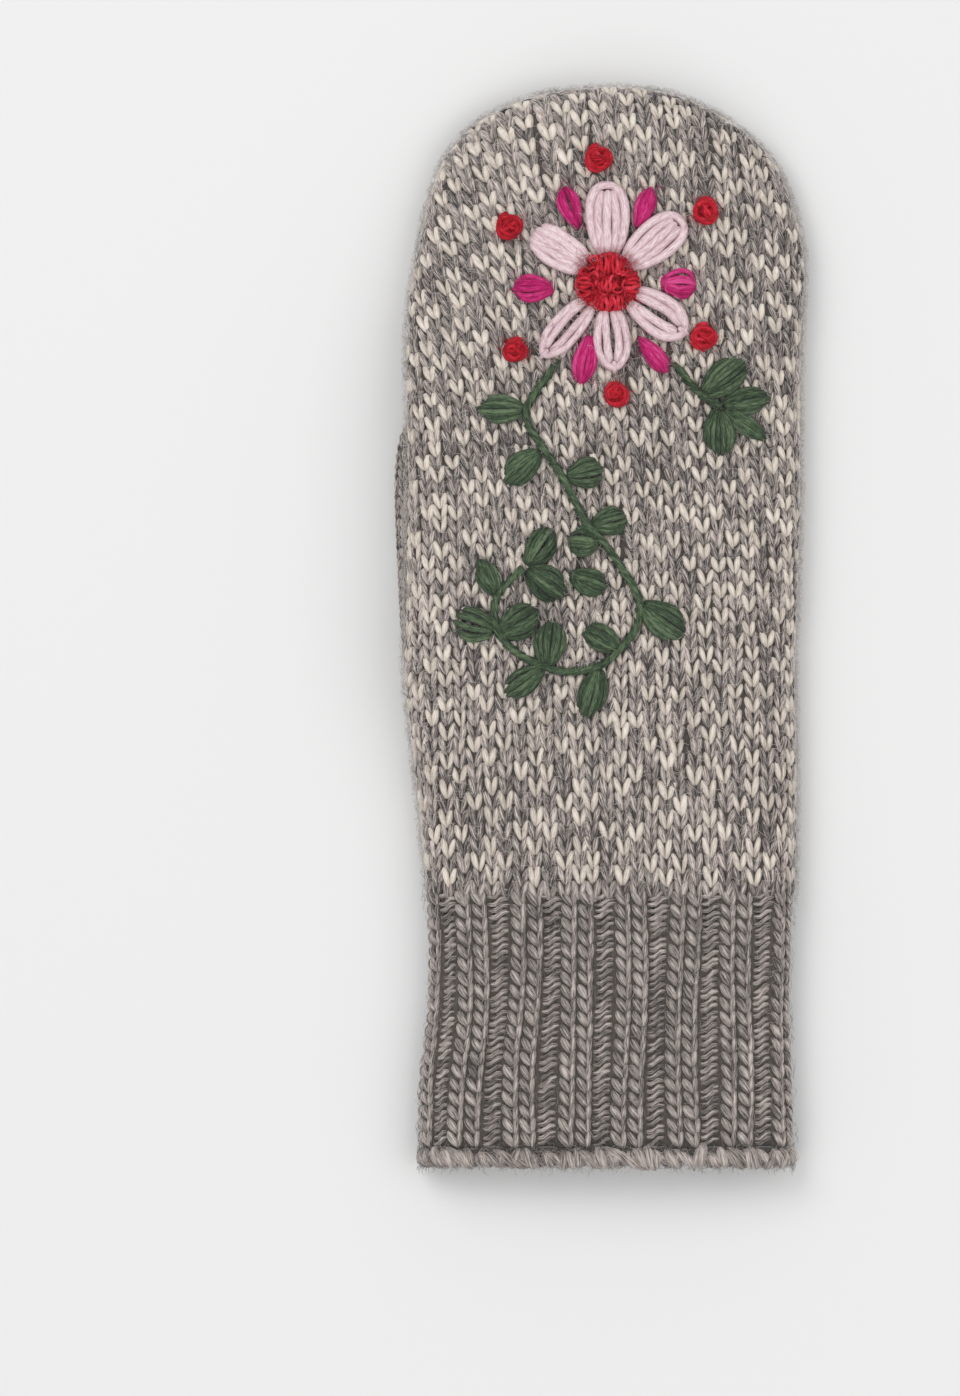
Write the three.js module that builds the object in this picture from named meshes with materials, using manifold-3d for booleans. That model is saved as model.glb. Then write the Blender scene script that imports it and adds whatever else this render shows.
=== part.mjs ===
// A knitted wool mitten for the right hand, lying palm down with its embroidered back up.
// Millimetres. X runs across the hand, Y from the cuff to the fingertips, Z up from the table.
// The origin is the middle of the cast-on edge's underside, at table level.

import * as THREE from "three";
import { mergeVertices } from "three/addons/utils/BufferGeometryUtils.js";
import Module from "manifold-3d";

const wasm = await Module();
wasm.setup();

// Knitted tube of the hand and cuff
const HAND_LENGTH = 204.6;
const HAND_WIDTH = 102;
const HAND_WALL = 2.8;
const SIDE_FOLD = 13.5;
const CROWN = 3;
const CUFF_LENGTH = 69;
const CUFF_WIDTH = 97;
const CUFF_WALL = 3.8;
const RIB_COUNT = 15;
const RIB_DEPTH = 1.8;
const EDGE_WIDTH = 5.2;
const EDGE_THICKNESS = 4.4;

// Thumb folded flat under the palm
const THUMB_LENGTH = 78;
const THUMB_WIDTH = 41;
const THUMB_THICKNESS = 9.6;
const THUMB_WALL = 2.4;
const THUMB_ACROSS = -32.5;
const THUMB_LEAN = -3;
const THUMB_ABOVE_CUFF = 46;
const THUMB_RAMP = 26;
const SLIT_WIDTH = 30;
const SLIT_OPENING = 11;
const SLIT_FROM_THUMB_BASE = 14;

// How the layers over the thumb are raised
const PALM_RAMP = 34;
const BACK_LIFT = 7.5;
const BACK_RAMP = 62;

// Embroidery on the back of the hand
const FLOWER_FROM_TIP = 51;
const PETAL_REACH = 26;
const CENTRE_RADIUS = 8;
const STEM_WIDTH = 2.3;
const PAD_HEIGHT = 2.2;
const KNOT_HEIGHT = 3.2;
const CENTRE_HEIGHT = 4.2;

// Clearance between pieces that touch
const GAP = 0.3;

// Side folds of the hand: up is a share of the hand's length, left and right of half its width
const HAND_OUTLINE = [
  { up: 0, left: 0.92, right: 0.957 },
  { up: 0.1, left: 0.961, right: 0.963 },
  { up: 0.173, left: 0.992, right: 0.96 },
  { up: 0.26, left: 1.028, right: 0.954 },
  { up: 0.35, left: 1.018, right: 0.967 },
  { up: 0.48, left: 1.012, right: 0.981 },
  { up: 0.6, left: 1.014, right: 0.981 },
  { up: 0.69, left: 1.016, right: 0.986 },
  { up: 0.75, left: 0.992, right: 1.002 },
  { up: 0.8, left: 0.952, right: 0.992 },
  { up: 0.85, left: 0.91, right: 0.941 },
  { up: 0.9, left: 0.84, right: 0.855 },
  { up: 0.925, left: 0.769, right: 0.775 },
  { up: 0.95, left: 0.673, right: 0.653 },
  { up: 0.975, left: 0.5, right: 0.476 },
  { up: 0.99, left: 0.3, right: 0.32 },
  { up: 1, left: -0.035, right: 0.035 },
];

// Side folds of the cuff, drawn in a little at its middle
const CUFF_OUTLINE = [
  { up: 0, left: 1.01, right: 1.008 },
  { up: 0.25, left: 1, right: 1 },
  { up: 0.5, left: 0.96, right: 0.985 },
  { up: 0.75, left: 0.952, right: 0.992 },
  { up: 1, left: 0.968, right: 1.007 },
];

// Sides of the thumb: up is a share of its length, half of half its width
const THUMB_OUTLINE = [
  { up: 0, half: 0.86 },
  { up: 0.12, half: 0.97 },
  { up: 0.4, half: 1 },
  { up: 0.7, half: 1 },
  { up: 0.8, half: 0.97 },
  { up: 0.88, half: 0.9 },
  { up: 0.94, half: 0.78 },
  { up: 0.98, half: 0.52 },
  { up: 0.995, half: 0.26 },
  { up: 1, half: 0.02 },
];

// The knit's ribs: along is a share of one rib, sunk a share of its depth
const RIB_PROFILE = [
  { along: 0, sunk: 1 },
  { along: 0.12, sunk: 0.85 },
  { along: 0.22, sunk: 0.12 },
  { along: 0.36, sunk: 0 },
  { along: 0.5, sunk: 0.1 },
  { along: 0.64, sunk: 0 },
  { along: 0.78, sunk: 0.12 },
  { along: 0.88, sunk: 0.85 },
];
const RIB_PHASE = 0.34;

// The flower's stitches: turn is in degrees, reach and width are shares of the petals' reach
const PETALS = [
  { name: "petal_top", turn: 90, reach: 1, width: 0.4 },
  { name: "petal_upper_right", turn: 40, reach: 0.98, width: 0.34 },
  { name: "petal_lower_right", turn: -33.5, reach: 0.935, width: 0.37 },
  { name: "petal_bottom", turn: -86, reach: 0.9, width: 0.31 },
  { name: "petal_lower_left", turn: -131, reach: 0.99, width: 0.29 },
  { name: "petal_upper_left", turn: 147, reach: 0.9, width: 0.33 },
];

// Stitches between the petals: out is their middle, lean their own turn away from the spoke
const BUDS = [
  { name: "bud_upper_left", turn: 116.4, out: 0.82, lean: -5, length: 0.43, width: 0.22 },
  { name: "bud_upper_right", turn: 63.4, out: 0.82, lean: 5, length: 0.42, width: 0.18 },
  { name: "bud_right", turn: -2, out: 0.71, lean: 0, length: 0.36, width: 0.28 },
  { name: "bud_lower_right", turn: -58, out: 0.865, lean: 7, length: 0.44, width: 0.18 },
  { name: "bud_lower_left", turn: -105.6, out: 0.81, lean: 5, length: 0.5, width: 0.21 },
  { name: "bud_left", turn: -174.6, out: 0.74, lean: -5, length: 0.4, width: 0.25 },
];

// Knots round the flower
const KNOTS = [
  { name: "knot_top", turn: 94, out: 1.22, size: 0.3 },
  { name: "knot_upper_right", turn: 36, out: 1.2, size: 0.29 },
  { name: "knot_lower_right", turn: -30, out: 1.105, size: 0.29 },
  { name: "knot_bottom", turn: -86, out: 1.13, size: 0.27 },
  { name: "knot_lower_left", turn: -142.7, out: 1.145, size: 0.26 },
  { name: "knot_upper_left", turn: 150.7, out: 1.11, size: 0.29 },
];

// Stems: right and up are shares of the hand's width, from the flower's middle
const VINE_ROUTE = [
  { right: -0.12, up: -0.205 },
  { right: -0.157, up: -0.248 },
  { right: -0.192, up: -0.298 },
  { right: -0.205, up: -0.33 },
  { right: -0.2, up: -0.364 },
  { right: -0.177, up: -0.402 },
  { right: -0.152, up: -0.438 },
  { right: -0.116, up: -0.493 },
  { right: -0.083, up: -0.556 },
  { right: -0.053, up: -0.612 },
  { right: -0.005, up: -0.668 },
  { right: 0.035, up: -0.726 },
  { right: 0.071, up: -0.784 },
  { right: 0.081, up: -0.83 },
  { right: 0.068, up: -0.883 },
  { right: 0.028, up: -0.931 },
  { right: -0.018, up: -0.97 },
  { right: -0.091, up: -0.986 },
  { right: -0.157, up: -0.974 },
  { right: -0.225, up: -0.941 },
  { right: -0.271, up: -0.895 },
  { right: -0.286, up: -0.845 },
  { right: -0.276, up: -0.792 },
  { right: -0.24, up: -0.751 },
  { right: -0.215, up: -0.728 },
];
const SPRIG_ROUTE = [
  { right: 0.172, up: -0.205 },
  { right: 0.202, up: -0.25 },
  { right: 0.24, up: -0.288 },
  { right: 0.285, up: -0.316 },
];

// Leaves, from their foot at a stem to their tip, in the stems' shares
const LEAVES = [
  { foot: [-0.207, -0.326], tip: [-0.321, -0.324], width: 0.061 },
  { foot: [-0.169, -0.43], tip: [-0.253, -0.508], width: 0.066 },
  { foot: [-0.104, -0.496], tip: [-0.013, -0.476], width: 0.071 },
  { foot: [-0.038, -0.619], tip: [0.046, -0.597], width: 0.068 },
  { foot: [-0.021, -0.662], tip: [-0.096, -0.657], width: 0.064 },
  { foot: [-0.205, -0.72], tip: [-0.142, -0.628], width: 0.066 },
  { foot: [-0.205, -0.73], tip: [-0.112, -0.795], width: 0.074 },
  { foot: [-0.094, -0.742], tip: [-0.004, -0.776], width: 0.062 },
  { foot: [-0.278, -0.794], tip: [-0.321, -0.708], width: 0.051 },
  { foot: [-0.282, -0.884], tip: [-0.382, -0.852], width: 0.078 },
  { foot: [-0.275, -0.893], tip: [-0.178, -0.832], width: 0.072 },
  { foot: [-0.152, -0.976], tip: [-0.137, -0.862], width: 0.071 },
  { foot: [-0.16, -0.974], tip: [-0.253, -1.042], width: 0.061 },
  { foot: [-0.023, -0.974], tip: [-0.055, -1.098], width: 0.063 },
  { foot: [0.033, -0.931], tip: [-0.055, -0.88], width: 0.062 },
  { foot: [0.083, -0.817], tip: [0.192, -0.89], width: 0.076 },
  { foot: [0.24, -0.288], tip: [0.347, -0.205], width: 0.076 },
  { foot: [0.288, -0.313], tip: [0.407, -0.291], width: 0.06 },
  { foot: [0.29, -0.322], tip: [0.4, -0.398], width: 0.04 },
  { foot: [0.283, -0.32], tip: [0.286, -0.437], width: 0.071 },
];

// Outlines of the satin stitches: along is a share of the length, half a share of half the width
const PETAL_SHAPE = [
  { along: 0, half: 0.45 },
  { along: 0.2, half: 0.68 },
  { along: 0.45, half: 0.92 },
  { along: 0.7, half: 1 },
  { along: 0.88, half: 0.82 },
  { along: 1, half: 0.4 },
];
const LEAF_SHAPE = [
  { along: 0, half: 0.22 },
  { along: 0.15, half: 0.62 },
  { along: 0.4, half: 0.96 },
  { along: 0.65, half: 1 },
  { along: 0.88, half: 0.8 },
  { along: 1, half: 0.4 },
];
const BUD_SHAPE = [
  { along: 0, half: 0.3 },
  { along: 0.22, half: 0.84 },
  { along: 0.5, half: 1 },
  { along: 0.78, half: 0.84 },
  { along: 1, half: 0.3 },
];

// Wool yarns
const YARNS = {
  speckled: { color: 0x9c938c, roughness: 0.95 },
  grey: { color: 0x8f8883, roughness: 0.95 },
  red: { color: 0xc8202c, roughness: 0.9 },
  pink: { color: 0xe3c3cf, roughness: 0.9 },
  magenta: { color: 0xc2187a, roughness: 0.9 },
  green: { color: 0x3a5a40, roughness: 0.9 },
};

// Places worked out from the driving sizes
const CUFF_START = EDGE_WIDTH / 2 + GAP;
const CUFF_END = CUFF_START + CUFF_LENGTH;
const HAND_START = CUFF_END + GAP;
const HAND_END = HAND_START + HAND_LENGTH;
const THUMB_START = CUFF_END + THUMB_ABOVE_CUFF;
const THUMB_END = THUMB_START + THUMB_LENGTH;
const FLOWER_Y = HAND_END - FLOWER_FROM_TIP;

const clamp01 = (value) => Math.min(1, Math.max(0, value));
const mix = (a, b, share) => a + (b - a) * share;

// Smooth step from 0 at the first place to 1 at the second
function rise(value, from, to) {
  const share = clamp01((value - from) / (to - from));
  return share * share * (3 - 2 * share);
}

// How far a fold's round side has come up, 0 at its edge and 1 past its radius
function foldShare(distance, radius) {
  const inward = clamp01(distance / radius);
  return Math.sqrt(1 - (1 - inward) ** 2);
}

// Smooth plan curve through the rows of an outline table: its sides at a given share of the length
function outlineReader(rows, sides) {
  const points = rows.map((row) => new THREE.Vector3(sides(row)[0], row.up, sides(row)[1]));
  const samples = new THREE.CatmullRomCurve3(points).getPoints(rows.length * 12);
  return (up) => {
    const next = samples.findIndex((sample) => sample.y >= up);
    if (next === 0) return [samples[0].x, samples[0].z];
    const after = next < 0 ? samples[samples.length - 1] : samples[next];
    const before = samples[(next < 0 ? samples.length : next) - 1];
    const share = clamp01((up - before.y) / Math.max(after.y - before.y, 1e-9));
    return [mix(before.x, after.x, share), mix(before.z, after.z, share)];
  };
}

const handShares = outlineReader(HAND_OUTLINE, (row) => [row.left, row.right]);
const cuffShares = outlineReader(CUFF_OUTLINE, (row) => [row.left, row.right]);
const thumbShares = outlineReader(THUMB_OUTLINE, (row) => [row.half, row.half]);

function handSides(y) {
  const [left, right] = handShares((y - HAND_START) / HAND_LENGTH);
  return [-left * HAND_WIDTH / 2, right * HAND_WIDTH / 2];
}

function cuffSides(y) {
  const [left, right] = cuffShares((y - CUFF_START) / CUFF_LENGTH);
  return [-left * CUFF_WIDTH / 2, right * CUFF_WIDTH / 2];
}

function thumbMiddle(y) {
  return THUMB_ACROSS + THUMB_LEAN * (y - THUMB_START) / THUMB_LENGTH;
}

function thumbSides(y) {
  const half = thumbShares((y - THUMB_START) / THUMB_LENGTH)[0] * THUMB_WIDTH / 2;
  return [thumbMiddle(y) - half, thumbMiddle(y) + half];
}

// Upper face of the thumb: it starts as thick as one knitted wall and swells towards the tip
function thumbTop(y) {
  const swell = rise(y, THUMB_START - THUMB_RAMP / 2, THUMB_START + THUMB_RAMP);
  return THUMB_THICKNESS * swell;
}

// Underside of the palm: on the table, but raised where it lies over the thumb
function palmUnder(x, y) {
  const right = thumbMiddle(y) + THUMB_WIDTH / 2 - SIDE_FOLD / 4;
  const across = 1 - rise(x, right, right + PALM_RAMP);
  const beyond = 1 - rise(y, THUMB_END - SIDE_FOLD / 2, THUMB_END + PALM_RAMP);
  const covered = thumbTop(y) + GAP * rise(y, THUMB_START - THUMB_RAMP, THUMB_START);
  return covered * across * beyond;
}

// Upper face of the back of the hand, swollen between its folds and gently raised over the thumb
function backOver(sides) {
  return (x, y) => {
    const [left, right] = sides(y);
    const fromMiddle = (2 * x - left - right) / Math.max(right - left, 1);
    const across = 1 - rise(x, THUMB_ACROSS, THUMB_ACROSS + BACK_RAMP);
    const up = rise(y, THUMB_START - PALM_RAMP, THUMB_START + THUMB_RAMP / 2);
    const beyond = 1 - rise(y, THUMB_END - PALM_RAMP / 2, THUMB_END + BACK_RAMP);
    return SIDE_FOLD + CROWN * (1 - clamp01(fromMiddle ** 2)) + BACK_LIFT * across * up * beyond;
  };
}

// A flattened knitted tube, from the side folds at each y, its two layers and its round ends
class FlatTube {
  constructor({ sides, under, over, start, end, fold, closedStart, closedEnd }) {
    Object.assign(this, { sides, under, over, start, end, fold });
    const rows = [];
    const steps = 120;
    for (let i = 0; i <= steps; i += 1) {
      const y = mix(start, end, Math.sin((i / steps) * Math.PI / 2));
      rows.push([...sides(y), y]);
    }
    this.border = [];
    for (let i = 0; i < steps; i += 1) {
      this.border.push([rows[i][0], rows[i][2], rows[i + 1][0], rows[i + 1][2]]);
      this.border.push([rows[i][1], rows[i][2], rows[i + 1][1], rows[i + 1][2]]);
    }
    if (closedStart) this.border.push([rows[0][0], start, rows[0][1], start]);
    if (closedEnd) this.border.push([rows[steps][0], end, rows[steps][1], end]);
  }

  // Distance in plan from the tube's outline
  inward(x, y) {
    let nearest = Infinity;
    for (const [ax, ay, bx, by] of this.border) {
      const along = (x - ax) * (bx - ax) + (y - ay) * (by - ay);
      const share = clamp01(along / Math.max((bx - ax) ** 2 + (by - ay) ** 2, 1e-12));
      nearest = Math.min(nearest, Math.hypot(x - mix(ax, bx, share), y - mix(ay, by, share)));
    }
    return nearest;
  }

  // Heights of the tube's two faces, taken in by a wall
  faces(x, y, wall = 0) {
    const middle = (this.under(x, y) + this.over(x, y)) / 2;
    const half = Math.max((this.over(x, y) - this.under(x, y)) / 2 - wall, 0);
    const share = foldShare(this.inward(x, y) - wall, this.fold - wall);
    return [middle - half * share, middle + half * share];
  }

  // Where a line across the tube is a given distance inside the outline
  placeAt(distance, y, side, middle) {
    let outer = side;
    let inner = middle;
    for (let i = 0; i < 24; i += 1) {
      const trial = (outer + inner) / 2;
      if (this.inward(trial, y) < distance) outer = trial;
      else inner = trial;
    }
    return inner;
  }

  // One closed ring round the tube, with the fold and flat steps given
  ring(y, wall, foldSteps, flatSteps) {
    const [left, right] = this.sides(y);
    const middle = (left + right) / 2;
    const deepest = Math.min(this.fold, mix(wall, this.inward(middle, y), 0.8));
    const across = [];
    const mirrored = [];
    for (let i = 0; i <= foldSteps; i += 1) {
      const share = 1 - Math.cos((i / foldSteps) * Math.PI / 2);
      const distance = mix(wall, deepest, share);
      across.push(this.placeAt(distance, y, left, middle));
      mirrored.unshift(this.placeAt(distance, y, right, middle));
    }
    const flatLeft = across[foldSteps];
    const flatRight = mirrored[0];
    for (let i = 1; i < flatSteps; i += 1) across.push(mix(flatLeft, flatRight, i / flatSteps));
    across.push(...mirrored);
    const last = across.length - 1;
    const lower = across.map((x) => new THREE.Vector3(x, y, this.faces(x, y, wall)[0]));
    const upper = across.map((x) => new THREE.Vector3(x, y, this.faces(x, y, wall)[1]));
    const edge = (i) => lower[i].clone().setZ((lower[i].z + upper[i].z) / 2);
    return [edge(0), ...lower.slice(1, last), edge(last), ...upper.slice(1, last).reverse()];
  }
}

const hand = new FlatTube({
  sides: handSides, under: palmUnder, over: backOver(handSides),
  start: HAND_START, end: HAND_END, fold: SIDE_FOLD / 2,
});
const cuff = new FlatTube({
  sides: cuffSides, under: () => 0, over: backOver(cuffSides),
  start: CUFF_START, end: CUFF_END, fold: SIDE_FOLD / 2,
});
const thumb = new FlatTube({
  sides: thumbSides, under: () => 0, over: (x, y) => thumbTop(y),
  start: THUMB_START, end: THUMB_END, fold: THUMB_THICKNESS / 2,
});

// Stations from start to end: even along the body, then closer and closer round the dome
function domeStations(start, end, dome, bodySteps, domeSteps) {
  const stations = [];
  for (let i = 0; i < bodySteps; i += 1) stations.push(mix(start, end - dome, i / bodySteps));
  for (let i = 0; i <= domeSteps; i += 1) {
    stations.push(end - dome * (1 - Math.sin((i / (domeSteps + 0.35)) * Math.PI / 2)));
  }
  return stations;
}

// A closed body through rings of equal count, with its ends capped or the last ring joined to the first
function ringBody(rings, joined = false) {
  const count = rings[0].length;
  const positions = rings.flat().flatMap((point) => [point.x, point.y, point.z]);
  const faces = [];
  const bands = joined ? rings.length : rings.length - 1;
  for (let band = 0; band < bands; band += 1) {
    const next = (band + 1) % rings.length;
    for (let i = 0; i < count; i += 1) {
      const j = (i + 1) % count;
      const corners = [band * count + i, band * count + j, next * count + j, next * count + i];
      faces.push(corners[0], corners[1], corners[2], corners[0], corners[2], corners[3]);
    }
  }
  if (!joined) {
    for (const [ring, first] of [[rings[0], 0], [rings[rings.length - 1], (rings.length - 1) * count]]) {
      const hub = ring.reduce((sum, point) => sum.add(point), new THREE.Vector3()).divideScalar(count);
      const hubIndex = positions.length / 3;
      positions.push(hub.x, hub.y, hub.z);
      for (let i = 0; i < count; i += 1) {
        const j = (i + 1) % count;
        if (first === 0) faces.push(hubIndex, first + j, first + i);
        else faces.push(hubIndex, first + i, first + j);
      }
    }
  }
  const geometry = new THREE.BufferGeometry();
  geometry.setAttribute("position", new THREE.Float32BufferAttribute(positions, 3));
  geometry.setIndex(faces);
  return facesOut(geometry);
}

// Turns every face over if the body is inside out
function facesOut(geometry) {
  const at = geometry.attributes.position;
  const index = geometry.index.array;
  const [a, b, c] = [new THREE.Vector3(), new THREE.Vector3(), new THREE.Vector3()];
  let volume = 0;
  for (let i = 0; i < index.length; i += 3) {
    a.fromBufferAttribute(at, index[i]);
    b.fromBufferAttribute(at, index[i + 1]);
    c.fromBufferAttribute(at, index[i + 2]);
    volume += a.dot(b.cross(c));
  }
  if (volume < 0) {
    for (let i = 0; i < index.length; i += 3) [index[i + 1], index[i + 2]] = [index[i + 2], index[i + 1]];
  }
  return geometry;
}

function toSolid(geometry) {
  const bare = geometry.clone();
  bare.deleteAttribute("normal");
  bare.deleteAttribute("uv");
  const merged = mergeVertices(bare);
  return new wasm.Manifold(new wasm.Mesh({
    numProp: 3,
    vertProperties: new Float32Array(merged.attributes.position.array),
    triVerts: new Uint32Array(merged.index.array),
  }));
}

function toGeometry(solid) {
  const mesh = solid.getMesh();
  const geometry = new THREE.BufferGeometry();
  geometry.setAttribute("position", new THREE.BufferAttribute(mesh.vertProperties, 3));
  geometry.setIndex(new THREE.BufferAttribute(mesh.triVerts, 1));
  return geometry;
}

// Cutter for the thumb's opening, from inside the thumb up through the palm
function slitCutter() {
  const y = THUMB_START + SLIT_FROM_THUMB_BASE;
  const x = thumbMiddle(y);
  const radius = SLIT_OPENING / 2;
  const straight = SLIT_WIDTH / 2 - radius;
  const outline = new THREE.Shape();
  outline.absarc(straight, 0, radius, -Math.PI / 2, Math.PI / 2);
  outline.absarc(-straight, 0, radius, Math.PI / 2, 3 * Math.PI / 2);
  const bottom = THUMB_WALL + GAP;
  const top = (palmUnder(x, y) + HAND_WALL + hand.over(x, y) - HAND_WALL) / 2;
  const slit = new THREE.ExtrudeGeometry(outline, { depth: top - bottom, bevelEnabled: false, curveSegments: 6 });
  slit.translate(x, y, bottom);
  return toSolid(slit);
}

function buildHand() {
  const dome = HAND_LENGTH * 0.13;
  const outer = domeStations(HAND_START, HAND_END, dome, 26, 8).map((y) => hand.ring(y, 0, 4, 11));
  const cavityEnd = HAND_END - HAND_WALL;
  const cavity = domeStations(HAND_START, cavityEnd, dome, 22, 7).map((y) => hand.ring(y, HAND_WALL, 3, 11));
  const mouth = cavity[0].map((point) => point.clone().setY(HAND_START - 1));
  const shell = toSolid(ringBody(outer)).subtract(toSolid(ringBody([mouth, ...cavity])));
  return toGeometry(shell.subtract(slitCutter()));
}

function buildThumb() {
  const dome = THUMB_LENGTH * 0.16;
  const outer = domeStations(THUMB_START, THUMB_END, dome, 9, 6).map((y) => thumb.ring(y, 0, 3, 6));
  const cavityStart = THUMB_START + SLIT_FROM_THUMB_BASE - SLIT_OPENING / 2;
  const cavityStations = domeStations(cavityStart, THUMB_END - THUMB_WALL, dome, 7, 5);
  const cavity = cavityStations.map((y) => thumb.ring(y, THUMB_WALL, 3, 6));
  const shell = toSolid(ringBody(outer)).subtract(toSolid(ringBody(cavity)));
  return toGeometry(shell.subtract(slitCutter()));
}

// Points and outward directions at even steps round a ring
function walkRing(ring, starts) {
  const lengths = ring.map((point, i) => point.distanceTo(ring[(i + 1) % ring.length]));
  const total = lengths.reduce((sum, length) => sum + length, 0);
  return starts.map((share) => {
    let left = share * total;
    let i = 0;
    while (left > lengths[i] && i < ring.length - 1) {
      left -= lengths[i];
      i += 1;
    }
    const next = ring[(i + 1) % ring.length];
    const along = next.clone().sub(ring[i]).normalize();
    const point = ring[i].clone().lerp(next, left / lengths[i]);
    return { point, outward: new THREE.Vector3(along.z, 0, -along.x) };
  });
}

function buildCuff() {
  const stations = CUFF_OUTLINE.map((row) => mix(CUFF_START, CUFF_END, row.up));
  const starts = [];
  for (let rib = 0; rib < RIB_COUNT; rib += 1) {
    for (const { along } of RIB_PROFILE) starts.push(((rib + along + RIB_PHASE) % RIB_COUNT) / RIB_COUNT);
  }
  const outer = stations.map((y) => {
    const smooth = cuff.ring(y, 0, 8, 20);
    return walkRing(smooth, starts).map(({ point, outward }, i) => {
      const { sunk } = RIB_PROFILE[i % RIB_PROFILE.length];
      return point.addScaledVector(outward, -sunk * RIB_DEPTH);
    });
  });
  const inner = stations.map((y) => cuff.ring(y, CUFF_WALL, 3, 10));
  const mouth = inner[0].map((point) => point.clone().setY(CUFF_START - 1));
  const crown = inner[inner.length - 1].map((point) => point.clone().setY(CUFF_END + 1));
  const shell = toSolid(ringBody(outer)).subtract(toSolid(ringBody([mouth, ...inner, crown])));
  return toGeometry(shell);
}

// Rolled cast-on edge: an eight-sided roll swept round the cuff's mouth, flat side out
function buildCastOnEdge() {
  const sides = 8;
  const path = cuff.ring(CUFF_START, EDGE_THICKNESS / 2, 4, 8);
  const spread = 1 / Math.cos(Math.PI / sides);
  const rings = path.map((point, i) => {
    const before = path[(i + path.length - 1) % path.length];
    const after = path[(i + 1) % path.length];
    const along = after.clone().sub(before).normalize();
    const outward = new THREE.Vector3(along.z, 0, -along.x);
    return Array.from({ length: sides }, (unused, side) => {
      const angle = ((side + 0.5) / sides) * 2 * Math.PI;
      const out = Math.cos(angle) * spread * EDGE_THICKNESS / 2;
      const corner = point.clone().addScaledVector(outward, out);
      return corner.setY(Math.sin(angle) * spread * EDGE_WIDTH / 2);
    });
  });
  return ringBody(rings, true);
}

// Height on which embroidery lies
function backAt(x, y) {
  return hand.faces(x, y)[1] + GAP;
}

// Section of a satin stitch: half widths and heights as shares, round from its left edge
const PAD_SECTION = [
  { half: -1, up: 0 },
  { half: 0, up: 0 },
  { half: 1, up: 0 },
  { half: 0.72, up: 0.75 },
  { half: 0, up: 1 },
  { half: -0.72, up: 0.75 },
];

// Stations of a padded band along a path in plan, draped on the back of the hand
function drapedRings(stations) {
  return stations.map(({ place, along, half, height }) => PAD_SECTION.map((corner) => {
    const x = place.x + along.y * corner.half * half;
    const y = place.y - along.x * corner.half * half;
    return new THREE.Vector3(x, y, backAt(x, y) + corner.up * height);
  }));
}

// A satin-stitched petal, bud or leaf from its foot to its tip
function satinPad(foot, tip, width, shape) {
  const along = tip.clone().sub(foot).normalize();
  const stations = shape.map((row) => ({
    place: foot.clone().lerp(tip, row.along),
    along,
    half: row.half * width / 2,
    height: PAD_HEIGHT * mix(0.55, 1, row.half),
  }));
  return ringBody(drapedRings(stations));
}

// A stem stitched along a smooth route in plan
function stitchedStem(route, steps) {
  const curve = new THREE.CatmullRomCurve3(route.map(({ x, y }) => new THREE.Vector3(x, y, 0)));
  const stations = Array.from({ length: steps + 1 }, (unused, i) => ({
    place: curve.getPointAt(i / steps),
    along: curve.getTangentAt(i / steps),
    half: STEM_WIDTH / 2,
    height: PAD_HEIGHT,
  }));
  return ringBody(drapedRings(stations));
}

// A low round boss of wound stitches, with its sides drawn in by lobes
function woundBoss(middle, radius, height, sides, lobes, depth) {
  const levels = [
    { out: 0.9, up: 0 },
    { out: 1, up: 0.4 },
    { out: 0.8, up: 0.8 },
    { out: 0.4, up: 1 },
  ];
  return ringBody(levels.map(({ out, up }) => Array.from({ length: sides }, (unused, i) => {
    const angle = (i / sides) * 2 * Math.PI;
    const reach = radius * out * (1 - depth * (1 + Math.cos(lobes * angle)) / 2);
    const x = middle.x + reach * Math.cos(angle);
    const y = middle.y + reach * Math.sin(angle);
    return new THREE.Vector3(x, y, backAt(x, y) + height * up);
  })));
}

const degrees = (angle) => THREE.MathUtils.degToRad(angle);
const flowerMiddle = new THREE.Vector2(0, FLOWER_Y);

// A place at a turn and a distance from the flower's middle
function fromFlower(turn, distance) {
  const spoke = new THREE.Vector2(Math.cos(degrees(turn)), Math.sin(degrees(turn)));
  return spoke.multiplyScalar(distance).add(flowerMiddle);
}

// A place in the shares of the hand's width that the stems and leaves use
function motifPlace(right, up) {
  return new THREE.Vector2(right, up).multiplyScalar(HAND_WIDTH).add(flowerMiddle);
}

// A mesh whose own origin is a place on the object, named and coloured
function placed(name, geometry, yarn, place = new THREE.Vector3()) {
  geometry.translate(-place.x, -place.y, -place.z);
  geometry.computeVertexNormals();
  const mesh = new THREE.Mesh(geometry, new THREE.MeshStandardMaterial({ ...YARNS[yarn], metalness: 0 }));
  mesh.name = name;
  mesh.position.copy(place);
  return mesh;
}

// The same for a piece of embroidery that lies on the back of the hand
function embroidered(name, geometry, yarn, place) {
  return placed(name, geometry, yarn, new THREE.Vector3(place.x, place.y, backAt(place.x, place.y)));
}

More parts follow.
